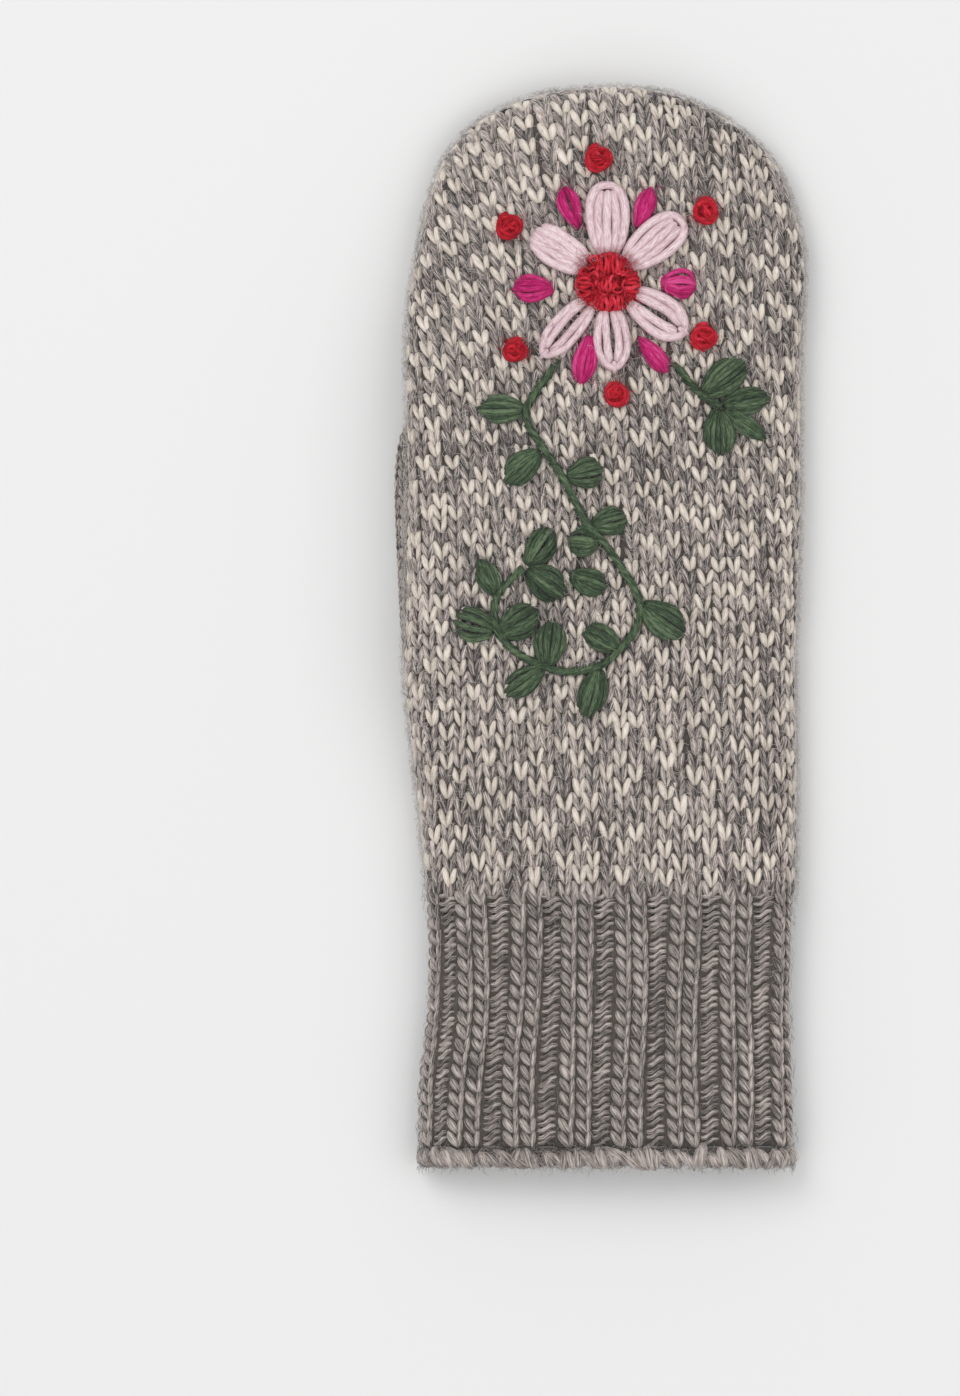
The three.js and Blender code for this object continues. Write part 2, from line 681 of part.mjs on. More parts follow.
function buildFlower() {
  const flower = new THREE.Group();
  const boss = woundBoss(flowerMiddle, CENTRE_RADIUS, CENTRE_HEIGHT, 16, 4, 0.12);
  flower.add(embroidered("flower_centre", boss, "red", flowerMiddle));
  for (const { name, turn, reach, width } of PETALS) {
    const foot = fromFlower(turn, CENTRE_RADIUS + GAP);
    const tip = fromFlower(turn, reach * PETAL_REACH);
    const pad = satinPad(foot, tip, width * PETAL_REACH, PETAL_SHAPE);
    flower.add(embroidered(name, pad, "pink", foot));
  }
  for (const { name, turn, out, lean, length, width } of BUDS) {
    const middle = fromFlower(turn, out * PETAL_REACH);
    const direction = fromFlower(turn + lean, 1).sub(flowerMiddle);
    const foot = middle.clone().addScaledVector(direction, -length * PETAL_REACH / 2);
    const tip = middle.clone().addScaledVector(direction, length * PETAL_REACH / 2);
    flower.add(embroidered(name, satinPad(foot, tip, width * PETAL_REACH, BUD_SHAPE), "magenta", foot));
  }
  for (const { name, turn, out, size } of KNOTS) {
    const middle = fromFlower(turn, out * PETAL_REACH);
    const knot = woundBoss(middle, size * PETAL_REACH / 2, KNOT_HEIGHT, 10, 5, 0.08);
    flower.add(embroidered(name, knot, "red", middle));
  }
  return flower;
}

// Leaves start clear of the stem that they grow from
function buildLeaf({ foot, tip, width }, number) {
  const start = motifPlace(...foot);
  const end = motifPlace(...tip);
  const direction = end.clone().sub(start).normalize();
  start.addScaledVector(direction, STEM_WIDTH / 2 + 2 * GAP);
  const pad = satinPad(start, end, width * HAND_WIDTH, LEAF_SHAPE);
  return embroidered(`leaf_${number + 1}`, pad, "green", start);
}

function buildVine() {
  const vine = new THREE.Group();
  const main = VINE_ROUTE.map(({ right, up }) => motifPlace(right, up));
  const sprig = SPRIG_ROUTE.map(({ right, up }) => motifPlace(right, up));
  vine.add(embroidered("stem_main", stitchedStem(main, 46), "green", main[0]));
  vine.add(embroidered("stem_side", stitchedStem(sprig, 8), "green", sprig[0]));
  LEAVES.forEach((leaf, number) => vine.add(buildLeaf(leaf, number)));
  return vine;
}

const mitten = new THREE.Group();
mitten.name = "wool_mitten";
mitten.add(placed("hand", buildHand(), "speckled", new THREE.Vector3(0, HAND_START, 0)));
mitten.add(placed("cuff", buildCuff(), "grey", new THREE.Vector3(0, CUFF_START, 0)));
mitten.add(placed("cast_on_edge", buildCastOnEdge(), "grey"));
mitten.add(placed("thumb", buildThumb(), "grey", new THREE.Vector3(THUMB_ACROSS, THUMB_START, 0)));
mitten.add(buildFlower());
mitten.add(buildVine());

export default mitten;
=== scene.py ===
"""A wool mitten for the right hand, lying palm down, dressed in its own knitting and embroidery.

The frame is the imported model: X across the hand, Y from cuff to fingertips, Z up from the table.
Lengths are millimetres until a mesh is made, and metres from there on.
"""

import bpy
import numpy as np
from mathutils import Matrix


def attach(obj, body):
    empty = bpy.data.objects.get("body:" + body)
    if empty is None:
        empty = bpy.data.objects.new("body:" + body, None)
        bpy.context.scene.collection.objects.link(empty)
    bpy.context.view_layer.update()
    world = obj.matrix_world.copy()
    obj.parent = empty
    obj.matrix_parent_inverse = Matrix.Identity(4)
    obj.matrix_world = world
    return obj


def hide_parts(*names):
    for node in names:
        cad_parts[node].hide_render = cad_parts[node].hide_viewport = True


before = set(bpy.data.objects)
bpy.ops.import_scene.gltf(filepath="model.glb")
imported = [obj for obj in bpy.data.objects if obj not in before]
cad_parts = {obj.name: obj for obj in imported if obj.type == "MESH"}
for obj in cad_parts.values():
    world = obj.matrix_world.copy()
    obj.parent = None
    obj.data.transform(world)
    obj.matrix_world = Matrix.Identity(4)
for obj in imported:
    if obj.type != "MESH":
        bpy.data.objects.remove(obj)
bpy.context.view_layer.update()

draw = np.random.default_rng(7)

# Sizes of the mitten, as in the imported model
HAND_START, HAND_END, HAND_WIDTH = 72.2, 276.8, 102.0
CUFF_START, CUFF_END, CUFF_WIDTH = 2.9, 71.9, 97.0
THUMB_START, THUMB_END, THUMB_WIDTH = 117.9, 195.9, 41.0
THUMB_ACROSS, THUMB_LEAN, THUMB_THICKNESS, THUMB_RAMP = -32.5, -3.0, 9.6, 26.0
SIDE_FOLD, CROWN, BACK_LIFT, BACK_RAMP, PALM_RAMP = 13.5, 3.0, 7.5, 62.0, 34.0
WALL, CUFF_WALL, GAP = 2.8, 3.8, 0.3
FOLD = SIDE_FOLD / 2
THUMB_FOLD = THUMB_THICKNESS / 2
EDGE_HEIGHT = 4.4
FLOWER_Y, PETAL_REACH, CENTRE_RADIUS = HAND_END - 51.0, 26.0, 8.0

# Cloth taken up by a side fold, as a share of the fold's radius, beyond its outline in plan
FOLD_EXTRA = np.pi / 2 - 1

# Knitting: stitch widths and row heights
STITCH, ROW, LOW_ROW = 3.77, 3.28, 3.78
THUMB_STITCH, THUMB_ROW = 3.1, 2.6
RIBS, RIB_PHASE, RIB_ROW = 15, 0.34, 3.45

# Side folds of the hand: up the hand, then left and right of half its width
HAND_OUTLINE = [
    (0, 0.92, 0.957), (0.1, 0.961, 0.963), (0.173, 0.992, 0.96), (0.26, 1.028, 0.954),
    (0.35, 1.018, 0.967), (0.48, 1.012, 0.981), (0.6, 1.014, 0.981), (0.69, 1.016, 0.986),
    (0.75, 0.992, 1.002), (0.8, 0.952, 0.992), (0.85, 0.91, 0.941), (0.9, 0.84, 0.855),
    (0.925, 0.769, 0.775), (0.95, 0.673, 0.653), (0.975, 0.5, 0.476), (0.99, 0.3, 0.32),
    (1, -0.035, 0.035),
]
CUFF_OUTLINE = [
    (0, 1.01, 1.008), (0.25, 1, 1), (0.5, 0.96, 0.985), (0.75, 0.952, 0.992), (1, 0.968, 1.007),
]
THUMB_OUTLINE = [
    (0, 0.86, 0.86), (0.12, 0.97, 0.97), (0.4, 1, 1), (0.7, 1, 1), (0.8, 0.97, 0.97),
    (0.88, 0.9, 0.9), (0.94, 0.78, 0.78), (0.98, 0.52, 0.52), (0.995, 0.26, 0.26), (1, 0.02, 0.02),
]

# Off-white stitches in each row of the speckle, out of a repeat of six
SPECKLE = [(0, 3), (1, 5), (0, 3), (2, 4)]
REPEAT = 6

# The flower, from its middle. Turns and leans are degrees, lengths, widths and distances are shares of
# PETAL_REACH. Petals: turn, length, width, half the yarn's thickness in mm, whether a loop goes round, and
# straight strands
PETALS = [
    ("petal_top", 90, 1, 0.41, 1.2, True, 3), ("petal_upper_right", 40, 0.99, 0.38, 1.14, True, 3),
    ("petal_lower_right", -33.5, 0.95, 0.39, 1.26, True, 2), ("petal_bottom", -86, 0.9, 0.33, 1.08, True, 2),
    ("petal_lower_left", -131, 1.0, 0.31, 0.98, True, 2),
    ("petal_upper_left", 147, 0.92, 0.385, 1.14, False, 5),
]
# Turn, distance, lean, length and width
BUDS = [
    ("bud_upper_left", 116.4, 0.82, -5, 0.43, 0.22), ("bud_upper_right", 63.4, 0.82, 5, 0.42, 0.18),
    ("bud_right", -2, 0.71, 0, 0.36, 0.28), ("bud_lower_right", -58, 0.865, 7, 0.44, 0.18),
    ("bud_lower_left", -105.6, 0.81, 5, 0.5, 0.21), ("bud_left", -174.6, 0.74, -5, 0.4, 0.25),
]
# Turn, distance and width
KNOTS = [
    ("knot_top", 94, 1.22, 0.3), ("knot_upper_right", 36, 1.2, 0.29),
    ("knot_lower_right", -30, 1.105, 0.29), ("knot_bottom", -86, 1.13, 0.27),
    ("knot_lower_left", -142.7, 1.145, 0.26), ("knot_upper_left", 150.7, 1.11, 0.29),
]

# Stems and leaves, in shares of the hand's width from the flower's middle; a leaf's foot, tip and width
VINE = [
    (-0.12, -0.205), (-0.157, -0.248), (-0.192, -0.298), (-0.205, -0.33), (-0.2, -0.364),
    (-0.177, -0.402), (-0.152, -0.438), (-0.116, -0.493), (-0.083, -0.556), (-0.053, -0.612),
    (-0.005, -0.668), (0.035, -0.726), (0.071, -0.784), (0.081, -0.83), (0.068, -0.883),
    (0.028, -0.931), (-0.018, -0.97), (-0.091, -0.986), (-0.157, -0.974), (-0.225, -0.941),
    (-0.271, -0.895), (-0.286, -0.845), (-0.276, -0.792), (-0.24, -0.751), (-0.215, -0.728),
]
SPRIG = [(0.172, -0.205), (0.202, -0.25), (0.24, -0.288), (0.285, -0.316)]
LEAVES = [
    (-0.207, -0.326, -0.321, -0.324, 0.061), (-0.169, -0.43, -0.253, -0.508, 0.066),
    (-0.104, -0.496, -0.013, -0.476, 0.071), (-0.038, -0.619, 0.046, -0.597, 0.068),
    (-0.021, -0.662, -0.096, -0.657, 0.064), (-0.205, -0.72, -0.142, -0.628, 0.066),
    (-0.205, -0.73, -0.112, -0.795, 0.074), (-0.094, -0.742, -0.004, -0.776, 0.062),
    (-0.278, -0.794, -0.321, -0.708, 0.051), (-0.282, -0.884, -0.382, -0.852, 0.078),
    (-0.275, -0.893, -0.178, -0.832, 0.072), (-0.152, -0.976, -0.137, -0.862, 0.071),
    (-0.16, -0.974, -0.253, -1.042, 0.061), (-0.023, -0.974, -0.055, -1.098, 0.063),
    (0.033, -0.931, -0.055, -0.88, 0.062), (0.083, -0.817, 0.192, -0.89, 0.076),
    (0.24, -0.288, 0.347, -0.205, 0.076), (0.288, -0.313, 0.407, -0.291, 0.06),
    (0.29, -0.322, 0.4, -0.398, 0.04), (0.283, -0.32, 0.286, -0.437, 0.071),
]


# ---------------------------------------------------------------- small helpers

def rise(value, start, end):
    """Smooth step from 0 at the first place to 1 at the second."""
    share = np.clip((value - start) / (end - start), 0, 1)
    return share * share * (3 - 2 * share)


def unit(vectors, least=1e-9):
    """The same directions, each of length one."""
    return vectors / np.maximum(np.linalg.norm(vectors, axis=-1, keepdims=True), least)


def run_along(points):
    """How far along a line each of its points lies."""
    return np.concatenate([[0], np.cumsum(np.linalg.norm(np.diff(points, axis=0), axis=1))])


def points_along(line, run, at):
    """Places on a line whose points lie so far along it, at other distances."""
    return np.stack([np.interp(at, run, line[:, i]) for i in (0, 1)], -1)


def pairs(first, second):
    """Every pair of two lists' members, as two flat arrays."""
    return (a.ravel() for a in np.meshgrid(first, second, indexing="ij"))


def put_in_scene(name, data):
    item = bpy.data.objects.new(name, data)
    bpy.context.scene.collection.objects.link(item)
    return item


# ---------------------------------------------------------------- camera and light

# The photograph is 1396 pixels high and one of them is 0.258 mm on the mitten
VIEW_HEIGHT = 1396 * 0.258
VIEW_MIDDLE = (-32.8, 118.4)
# The scale holds at the height of the mitten's upper face
MITTEN_FACE = 14.0
LENS, SENSOR = 300.0, 36.0

camera = put_in_scene("camera", bpy.data.cameras.new("camera"))
camera.data.lens = LENS
camera.data.sensor_width = SENSOR
camera.data.sensor_fit = "AUTO"
camera_height = VIEW_HEIGHT * LENS / SENSOR + MITTEN_FACE
camera.location = (VIEW_MIDDLE[0] / 1000, VIEW_MIDDLE[1] / 1000, camera_height / 1000)
camera.data.clip_end = 20
bpy.context.scene.camera = camera


# Square softboxes: place and size in metres, and watts. All face one point on the mitten
SOFTBOXES = [
    ("softbox_top_left", (-0.75, 0.95, 1.5), 1.1, 12.8),
    ("softbox_right", (1.0, 0.1, 1.4), 1.3, 6.6),
    ("softbox_front", (-0.1, -0.9, 1.5), 1.3, 5.0),
]
AIM = (0, 0.12, 0)
SKY_STRENGTH = 0.58

for name, place, size, watts in SOFTBOXES:
    lamp = bpy.data.lights.new(name, "AREA")
    lamp.size = size
    lamp.energy = watts
    holder = put_in_scene(name, lamp)
    holder.location = place
    way = np.array(AIM) - np.array(place)
    pitch = np.arccos(-way[2] / np.linalg.norm(way))
    holder.rotation_euler = (pitch, 0, np.arctan2(way[1], way[0]) - np.pi / 2)

sky = bpy.data.worlds.new("studio")
sky.use_nodes = True
sky.node_tree.nodes["Background"].inputs["Color"].default_value = (1, 1, 1, 1)
sky.node_tree.nodes["Background"].inputs["Strength"].default_value = SKY_STRENGTH
bpy.context.scene.world = sky
# Plain sRGB colour, so that the yarns show as they are
bpy.context.scene.view_settings.view_transform = "Standard"


# ---------------------------------------------------------------- materials

def linear(colour):
    """Linear red, green, blue and alpha of an sRGB hex colour."""
    parts = [int(colour[i:i + 2], 16) / 255 for i in (1, 3, 5)]
    return [p / 12.92 if p <= 0.04045 else ((p + 0.055) / 1.055) ** 2.4 for p in parts] + [1]


def add_node(tree, kind, settings=None, links=None):
    """A node with its own settings, its sockets' values, and links from other sockets."""
    node = tree.nodes.new(kind)
    for key, value in (settings or {}).items():
        if isinstance(key, str) and hasattr(node, key):
            setattr(node, key, value)
        else:
            node.inputs[key].default_value = value
    for key, socket in (links or {}).items():
        tree.links.new(socket, node.inputs[key])
    return node


# Yarn: the twist of its fibres in radians, and how much longer than wide their streaks are
TWIST, FIBRE_RUN = 0.45, 6
# Uneven fleece: clouds about 6 mm across, so many to a metre, and how far they change the tone
CLOUD_SCALE, CLOUD_DEPTH = 170.0, 0.24


def wool_yarn(name, dark, middle, light, streak=0.32, sheen=0.35, contrast=1.0):
    """Spun wool: fine fibres run along the strand and turn round it, mixed from several fleeces.

    Wool's keratin has an IOR of 1.54. Its scaly fibres scatter light, so it is matt, with a soft sheen.
    """
    material = bpy.data.materials.new(name)
    material.use_nodes = True
    tree = material.node_tree
    tree.nodes.clear()
    strand = add_node(tree, "ShaderNodeUVMap", {"uv_map": "strand"})
    place = add_node(tree, "ShaderNodeTexCoord")
    # Fibres: streak is their spacing round the strand in mm, some ten times a real fibre's, so that they
    # show. They run FIBRE_RUN times as long, at the twist's angle
    turned = add_node(tree, "ShaderNodeMapping",
                      {"Rotation": (0, 0, TWIST), "Scale": (1 / streak, 1 / (FIBRE_RUN * streak), 1)},
                      {"Vector": strand.outputs["UV"]})
    fibres = add_node(tree, "ShaderNodeTexNoise", {"Scale": 1.0, "Detail": 3.0, "Roughness": 0.65},
                      {"Vector": turned.outputs["Vector"]})
    clouds = add_node(tree, "ShaderNodeTexNoise", {"Scale": CLOUD_SCALE, "Detail": 2.0},
                      {"Vector": place.outputs["Object"]})
    # Each point's tone: the strand's own tone, plus the painted shade of its thin ends and flanks and the
    # painted highlight on its top
    tone = add_node(tree, "ShaderNodeAttribute", {"attribute_name": "tone"})
    lift = add_node(tree, "ShaderNodeMath",
                    {"operation": "MULTIPLY_ADD", 1: CLOUD_DEPTH, 2: -CLOUD_DEPTH / 2},
                    {0: clouds.outputs["Fac"]})
    shade = add_node(tree, "ShaderNodeMath", {"operation": "ADD"},
                     {0: lift.outputs[0], 1: tone.outputs["Fac"]})
    # The noise keeps near its middle, so it is spread to reach the dark and the light fleece
    spread = add_node(tree, "ShaderNodeMath",
                      {"operation": "MULTIPLY_ADD", 1: 1.5 * contrast, 2: 0.5 - 0.75 * contrast},
                      {0: fibres.outputs["Fac"]})
    mixed = add_node(tree, "ShaderNodeMath", {"operation": "ADD", "use_clamp": True},
                     {0: spread.outputs[0], 1: shade.outputs[0]})
    fleeces = add_node(tree, "ShaderNodeValToRGB", links={"Fac": mixed.outputs[0]})
    marks = fleeces.color_ramp.elements
    marks.new(0.5)
    for mark, mark_place, colour in zip(marks, (0.12, 0.5, 0.88), (dark, middle, light)):
        mark.position = mark_place
        mark.color = linear(colour)
    bump = add_node(tree, "ShaderNodeBump", {"Strength": 0.5, "Distance": 0.0003},
                    {"Height": fibres.outputs["Fac"]})
    cloth = add_node(tree, "ShaderNodeBsdfPrincipled",
                     {"Roughness": 0.9, "IOR": 1.54, "Specular IOR Level": 0.25,
                      "Sheen Weight": sheen, "Sheen Roughness": 0.45},
                     {"Base Color": fleeces.outputs["Color"], "Normal": bump.outputs["Normal"]})
    add_node(tree, "ShaderNodeOutputMaterial", links={"Surface": cloth.outputs["BSDF"]})
    return material


# Heather spun from dark and pale fleece together: grey with fine dark and pale flecks
HEATHER = wool_yarn("grey_heather_wool", "#464040", "#9A8F89", "#D6C9C1",
                    streak=0.48, contrast=2.2, sheen=0.6)
# The same heather in the ribs and the thumb: a shade darker, with flecks less strong
RIB_HEATHER = wool_yarn("dark_grey_heather_wool", "#45403E", "#978D88", "#C8BDB6",
                        streak=0.55, contrast=1.7, sheen=0.55)
# Undyed off-white fleece, spun: pale, with only faint streaks
NATURAL = wool_yarn("off_white_wool", "#A69B90", "#DFD4C8", "#F0E8DE", streak=0.45, contrast=1.1)
# The back of the grey knitting and the wall inside: the same grey wool painted darker, as the shade between
# and behind the stitches
SHADED_BEHIND = wool_yarn("grey_wool_behind_painted_shade", "#322E2B", "#504A45", "#6C655F")
# Dyed crewel wools of the embroidery, loosely spun: full colours, matt, with a paler bloom
PINK = wool_yarn("pale_pink_wool", "#B08D93", "#D2B7BC", "#EDDADD", contrast=1.3, sheen=0.25)
MAGENTA = wool_yarn("magenta_wool", "#780C42", "#B91966", "#D5528F", sheen=0.12)
RED = wool_yarn("red_wool", "#62050F", "#BC0C22", "#E44658", sheen=0.08)
GREEN = wool_yarn("green_wool", "#1D271D", "#3D4E3A", "#67795B", contrast=1.3, sheen=0.15)
# Single pale fibres that stand out of brushed wool: a light haze
FIBRE = wool_yarn("loose_wool_fibre", "#B0A8A2", "#DAD3CD", "#F3EEE9")


# ---------------------------------------------------------------- cloth that the stitches lie on

def smooth_line(points, steps=12):
    """Centripetal spline through a list of points."""
    points = np.asarray(points, float)
    knots = np.vstack([2 * points[0] - points[1], points, 2 * points[-1] - points[-2]])
    found = [points[0]]
    for p0, p1, p2, p3 in zip(knots[:-3], knots[1:-2], knots[2:-1], knots[3:]):
        t0, t1, t2 = (np.sqrt(np.linalg.norm(b - a)) for a, b in ((p0, p1), (p1, p2), (p2, p3)))
        m1 = ((p1 - p0) / t0 - (p2 - p0) / (t0 + t1) + (p2 - p1) / t1) * t1
        m2 = ((p2 - p1) / t1 - (p3 - p1) / (t1 + t2) + (p3 - p2) / t2) * t1
        for t in np.arange(1, steps + 1) / steps:
            found.append(p1 * (2 * t ** 3 - 3 * t ** 2 + 1) + m1 * (t ** 3 - 2 * t ** 2 + t)
                         + p2 * (3 * t ** 2 - 2 * t ** 3) + m2 * (t ** 3 - t ** 2))
    return np.array(found)


# The grid on which a tube's cloth is worked out: its step, and its margins across and along, in mm
GRID_STEP, GRID_ACROSS, GRID_ALONG = 0.8, 12, 14
# The outline goes on this far below a tube's open end, so that no fold is made there
OPEN_END = 30.0


class FlatTube:
    """A flattened knitted tube: its outline in plan, its two faces and its round side folds."""

    def __init__(self, rows, width, start, end, fold, middle, under, over):
        self.fold, self.under, self.over = fold, under, over
        line = smooth_line([(-left, up, right) for up, left, right in rows])
        self.y = start + line[:, 1] * (end - start)
        centre = middle(self.y)
        self.left = line[:, 0] * width / 2 + centre
        self.right = line[:, 2] * width / 2 + centre
        outline = np.vstack([[self.left[0], start - OPEN_END], np.c_[self.left, self.y],
                             np.c_[self.right, self.y][::-1], [self.right[0], start - OPEN_END]])
        self.u = np.arange(self.left.min() - GRID_ACROSS, self.right.max() + GRID_ACROSS, GRID_STEP)
        self.v = np.arange(start - GRID_ALONG, end + GRID_ALONG, GRID_STEP)
        at = np.stack(np.meshgrid(self.u, self.v, indexing="ij"), -1)
        nearest = np.full(at.shape[:2], np.inf)
        inside = np.zeros(at.shape[:2], bool)
        for a, b in zip(outline[:-1], outline[1:]):
            run = b - a
            share = np.clip(((at - a) @ run) / max(run @ run, 1e-12), 0, 1)
            nearest = np.minimum(nearest, np.linalg.norm(at - a - share[..., None] * run, axis=-1))
            crosses = (a[1] > at[..., 1]) != (b[1] > at[..., 1])
            beyond = at[..., 0] < a[0] + run[0] * (at[..., 1] - a[1]) / (run[1] if run[1] else 1e-9)
            inside ^= crosses & beyond
        self.depth = np.where(inside, nearest, -nearest)
        self.inward = unit(np.stack(np.gradient(self.depth, GRID_STEP), -1), 1e-6)

    def cloth_edge(self, border):
        """Where a line on the side folds lies on the flat cloth, and its directions into the tube."""
        inward = unit(sample(self.inward, self.u, self.v, border[:, 0], border[:, 1]))
        return border - inward * FOLD_EXTRA * self.fold, inward

    def place(self, face):
        """Where each point of the flat cloth goes once the cloth wraps round the side folds."""
        u, v = np.meshgrid(self.u, self.v, indexing="ij")
        wrapped = self.depth + FOLD_EXTRA * self.fold
        angle = np.clip(wrapped / self.fold, -np.pi / 2, np.pi / 2)
        depth = np.where(angle < np.pi / 2, self.fold * (1 - np.cos(angle)), self.depth)
        x = u + self.inward[..., 0] * (depth - self.depth)
        y = v + self.inward[..., 1] * (depth - self.depth)
        low, high = self.under(x, y), self.over(x, y)
        z = (low + high) / 2 + face * (high - low) / 2 * np.sin(angle)
        return np.stack([x, y, z], -1)

    def round_fold(self, u, v):
        """Distance along the cloth from the side line, which is 0 on the line itself."""
        return sample(self.depth[..., None], self.u, self.v, u, v)[..., 0] + FOLD_EXTRA * self.fold


def sample(grid, us, vs, u, v):
    """Values between a grid's points."""
    a = np.clip((u - us[0]) / (us[1] - us[0]), 0, len(us) - 1.001)
    b = np.clip((v - vs[0]) / (vs[1] - vs[0]), 0, len(vs) - 1.001)
    i, j = a.astype(int), b.astype(int)
    a, b = (a - i)[..., None], (b - j)[..., None]
    return (grid[i, j] * (1 - a) * (1 - b) + grid[i + 1, j] * a * (1 - b)
            + grid[i, j + 1] * (1 - a) * b + grid[i + 1, j + 1] * a * b)


class Cloth:
    """A face of cloth with places and outward directions, on which strands are laid."""

    def __init__(self, us, vs, places, face):
        out = unit(np.cross(np.gradient(places, axis=0), np.gradient(places, axis=1)) * face)
        self.u, self.v = us, vs
        self.grid = np.concatenate([places, out], -1)

    def lay(self, u, v, height):
        """Places and outward directions at cloth coordinates, raised by a height."""
        found = sample(self.grid, self.u, self.v, u, v)
        out = unit(found[..., 3:])
        return found[..., :3] + out * np.asarray(height)[..., None], out


def thumb_middle(y):
    return THUMB_ACROSS + THUMB_LEAN * (y - THUMB_START) / (THUMB_END - THUMB_START)


def thumb_top(y):
    return THUMB_THICKNESS * rise(y, THUMB_START - THUMB_RAMP / 2, THUMB_START + THUMB_RAMP)


def palm_under(x, y):
    """The palm lies on the table, and on the folded thumb where that is."""
    right = thumb_middle(y) + THUMB_WIDTH / 2 - SIDE_FOLD / 4
    across = 1 - rise(x, right, right + PALM_RAMP)
    beyond = 1 - rise(y, THUMB_END - FOLD, THUMB_END + PALM_RAMP)
    return (thumb_top(y) + GAP * rise(y, THUMB_START - THUMB_RAMP, THUMB_START)) * across * beyond


def outline_sides(rows, width, start, end):
    """A function that gives the left and right side of an outline at any distance up it."""
    line = smooth_line([(-left, up, right) for up, left, right in rows])

    def sides(y):
        up = np.clip((y - start) / (end - start), 0, 1)
        return (np.interp(up, line[:, 1], line[:, i]) * width / 2 for i in (0, 2))

    return sides


def back_over(sides):
    """Upper face: swollen between its folds and raised over the thumb."""
    def height(x, y):
        left, right = sides(y)
        off_middle = (2 * x - left - right) / np.maximum(right - left, 1)
        over_thumb = ((1 - rise(x, THUMB_ACROSS, THUMB_ACROSS + BACK_RAMP))
                      * rise(y, THUMB_START - PALM_RAMP, THUMB_START + THUMB_RAMP / 2)
                      * (1 - rise(y, THUMB_END - PALM_RAMP / 2, THUMB_END + BACK_RAMP)))
        return SIDE_FOLD + CROWN * (1 - np.clip(off_middle ** 2, 0, 1)) + BACK_LIFT * over_thumb

    return height


hand_over = back_over(outline_sides(HAND_OUTLINE, HAND_WIDTH, HAND_START, HAND_END))
cuff_sides = outline_sides(CUFF_OUTLINE, CUFF_WIDTH, CUFF_START, CUFF_END)
cuff_over = back_over(cuff_sides)
hand = FlatTube(HAND_OUTLINE, HAND_WIDTH, HAND_START, HAND_END, FOLD,
                lambda y: y * 0, palm_under, hand_over)
thumb = FlatTube(THUMB_OUTLINE, THUMB_WIDTH, THUMB_START, THUMB_END, THUMB_FOLD,
                 thumb_middle, lambda x, y: x * 0, lambda x, y: np.maximum(thumb_top(y), 0.1))

back_cloth = Cloth(hand.u, hand.v, hand.place(1), 1)
palm_cloth = Cloth(hand.u, hand.v, hand.place(-1), -1)
thumb_top_cloth = Cloth(thumb.u, thumb.v, thumb.place(1), 1)
thumb_under_cloth = Cloth(thumb.u, thumb.v, thumb.place(-1), -1)


def cuff_cloth():
    """The cuff, unrolled: across it in ribs, from the left fold under and over, and along it in mm."""
    across = np.arange(-1, RIBS + 1.001, 1 / 40)
    along = np.arange(CUFF_START - 8, CUFF_END + 8, 1.5)
    places = np.zeros((len(across), len(along), 3))
    for j, y in enumerate(along):
        left, right = cuff_sides(y)
        turn = np.linspace(0, np.pi / 2, 24)
        depth = FOLD * (1 - np.cos(turn))
        flat = np.linspace(left + FOLD, right - FOLD, 80)[1:-1]
        x = np.concatenate([left + depth, flat, (right - depth)[::-1]])
        share = np.concatenate([np.sin(turn), flat * 0 + 1, np.sin(turn)[::-1]])
        half = cuff_over(x, x * 0 + y) / 2
        ring = np.vstack([np.c_[x, half - half * share], np.c_[x, half + half * share][::-1][1:]])
        run = run_along(ring)
        wanted = (across + RIB_PHASE) % RIBS / RIBS * run[-1]
        places[:, j, 0] = np.interp(wanted, run, ring[:, 0])
        places[:, j, 1] = y
        places[:, j, 2] = np.interp(wanted, run, ring[:, 1])
    return Cloth(across, along, places, -1)


cuff_face = cuff_cloth()


# ---------------------------------------------------------------- yarn

def skin(rings, sides, joined=False):
    """Quads over rings of points; joined where the last ring meets the first."""
    i, j = pairs(np.arange(rings - (not joined)), np.arange(sides))
    above, beside = (i + 1) % rings, (j + 1) % sides
    return np.stack([i * sides + j, i * sides + beside, above * sides + beside, above * sides + j], -1)


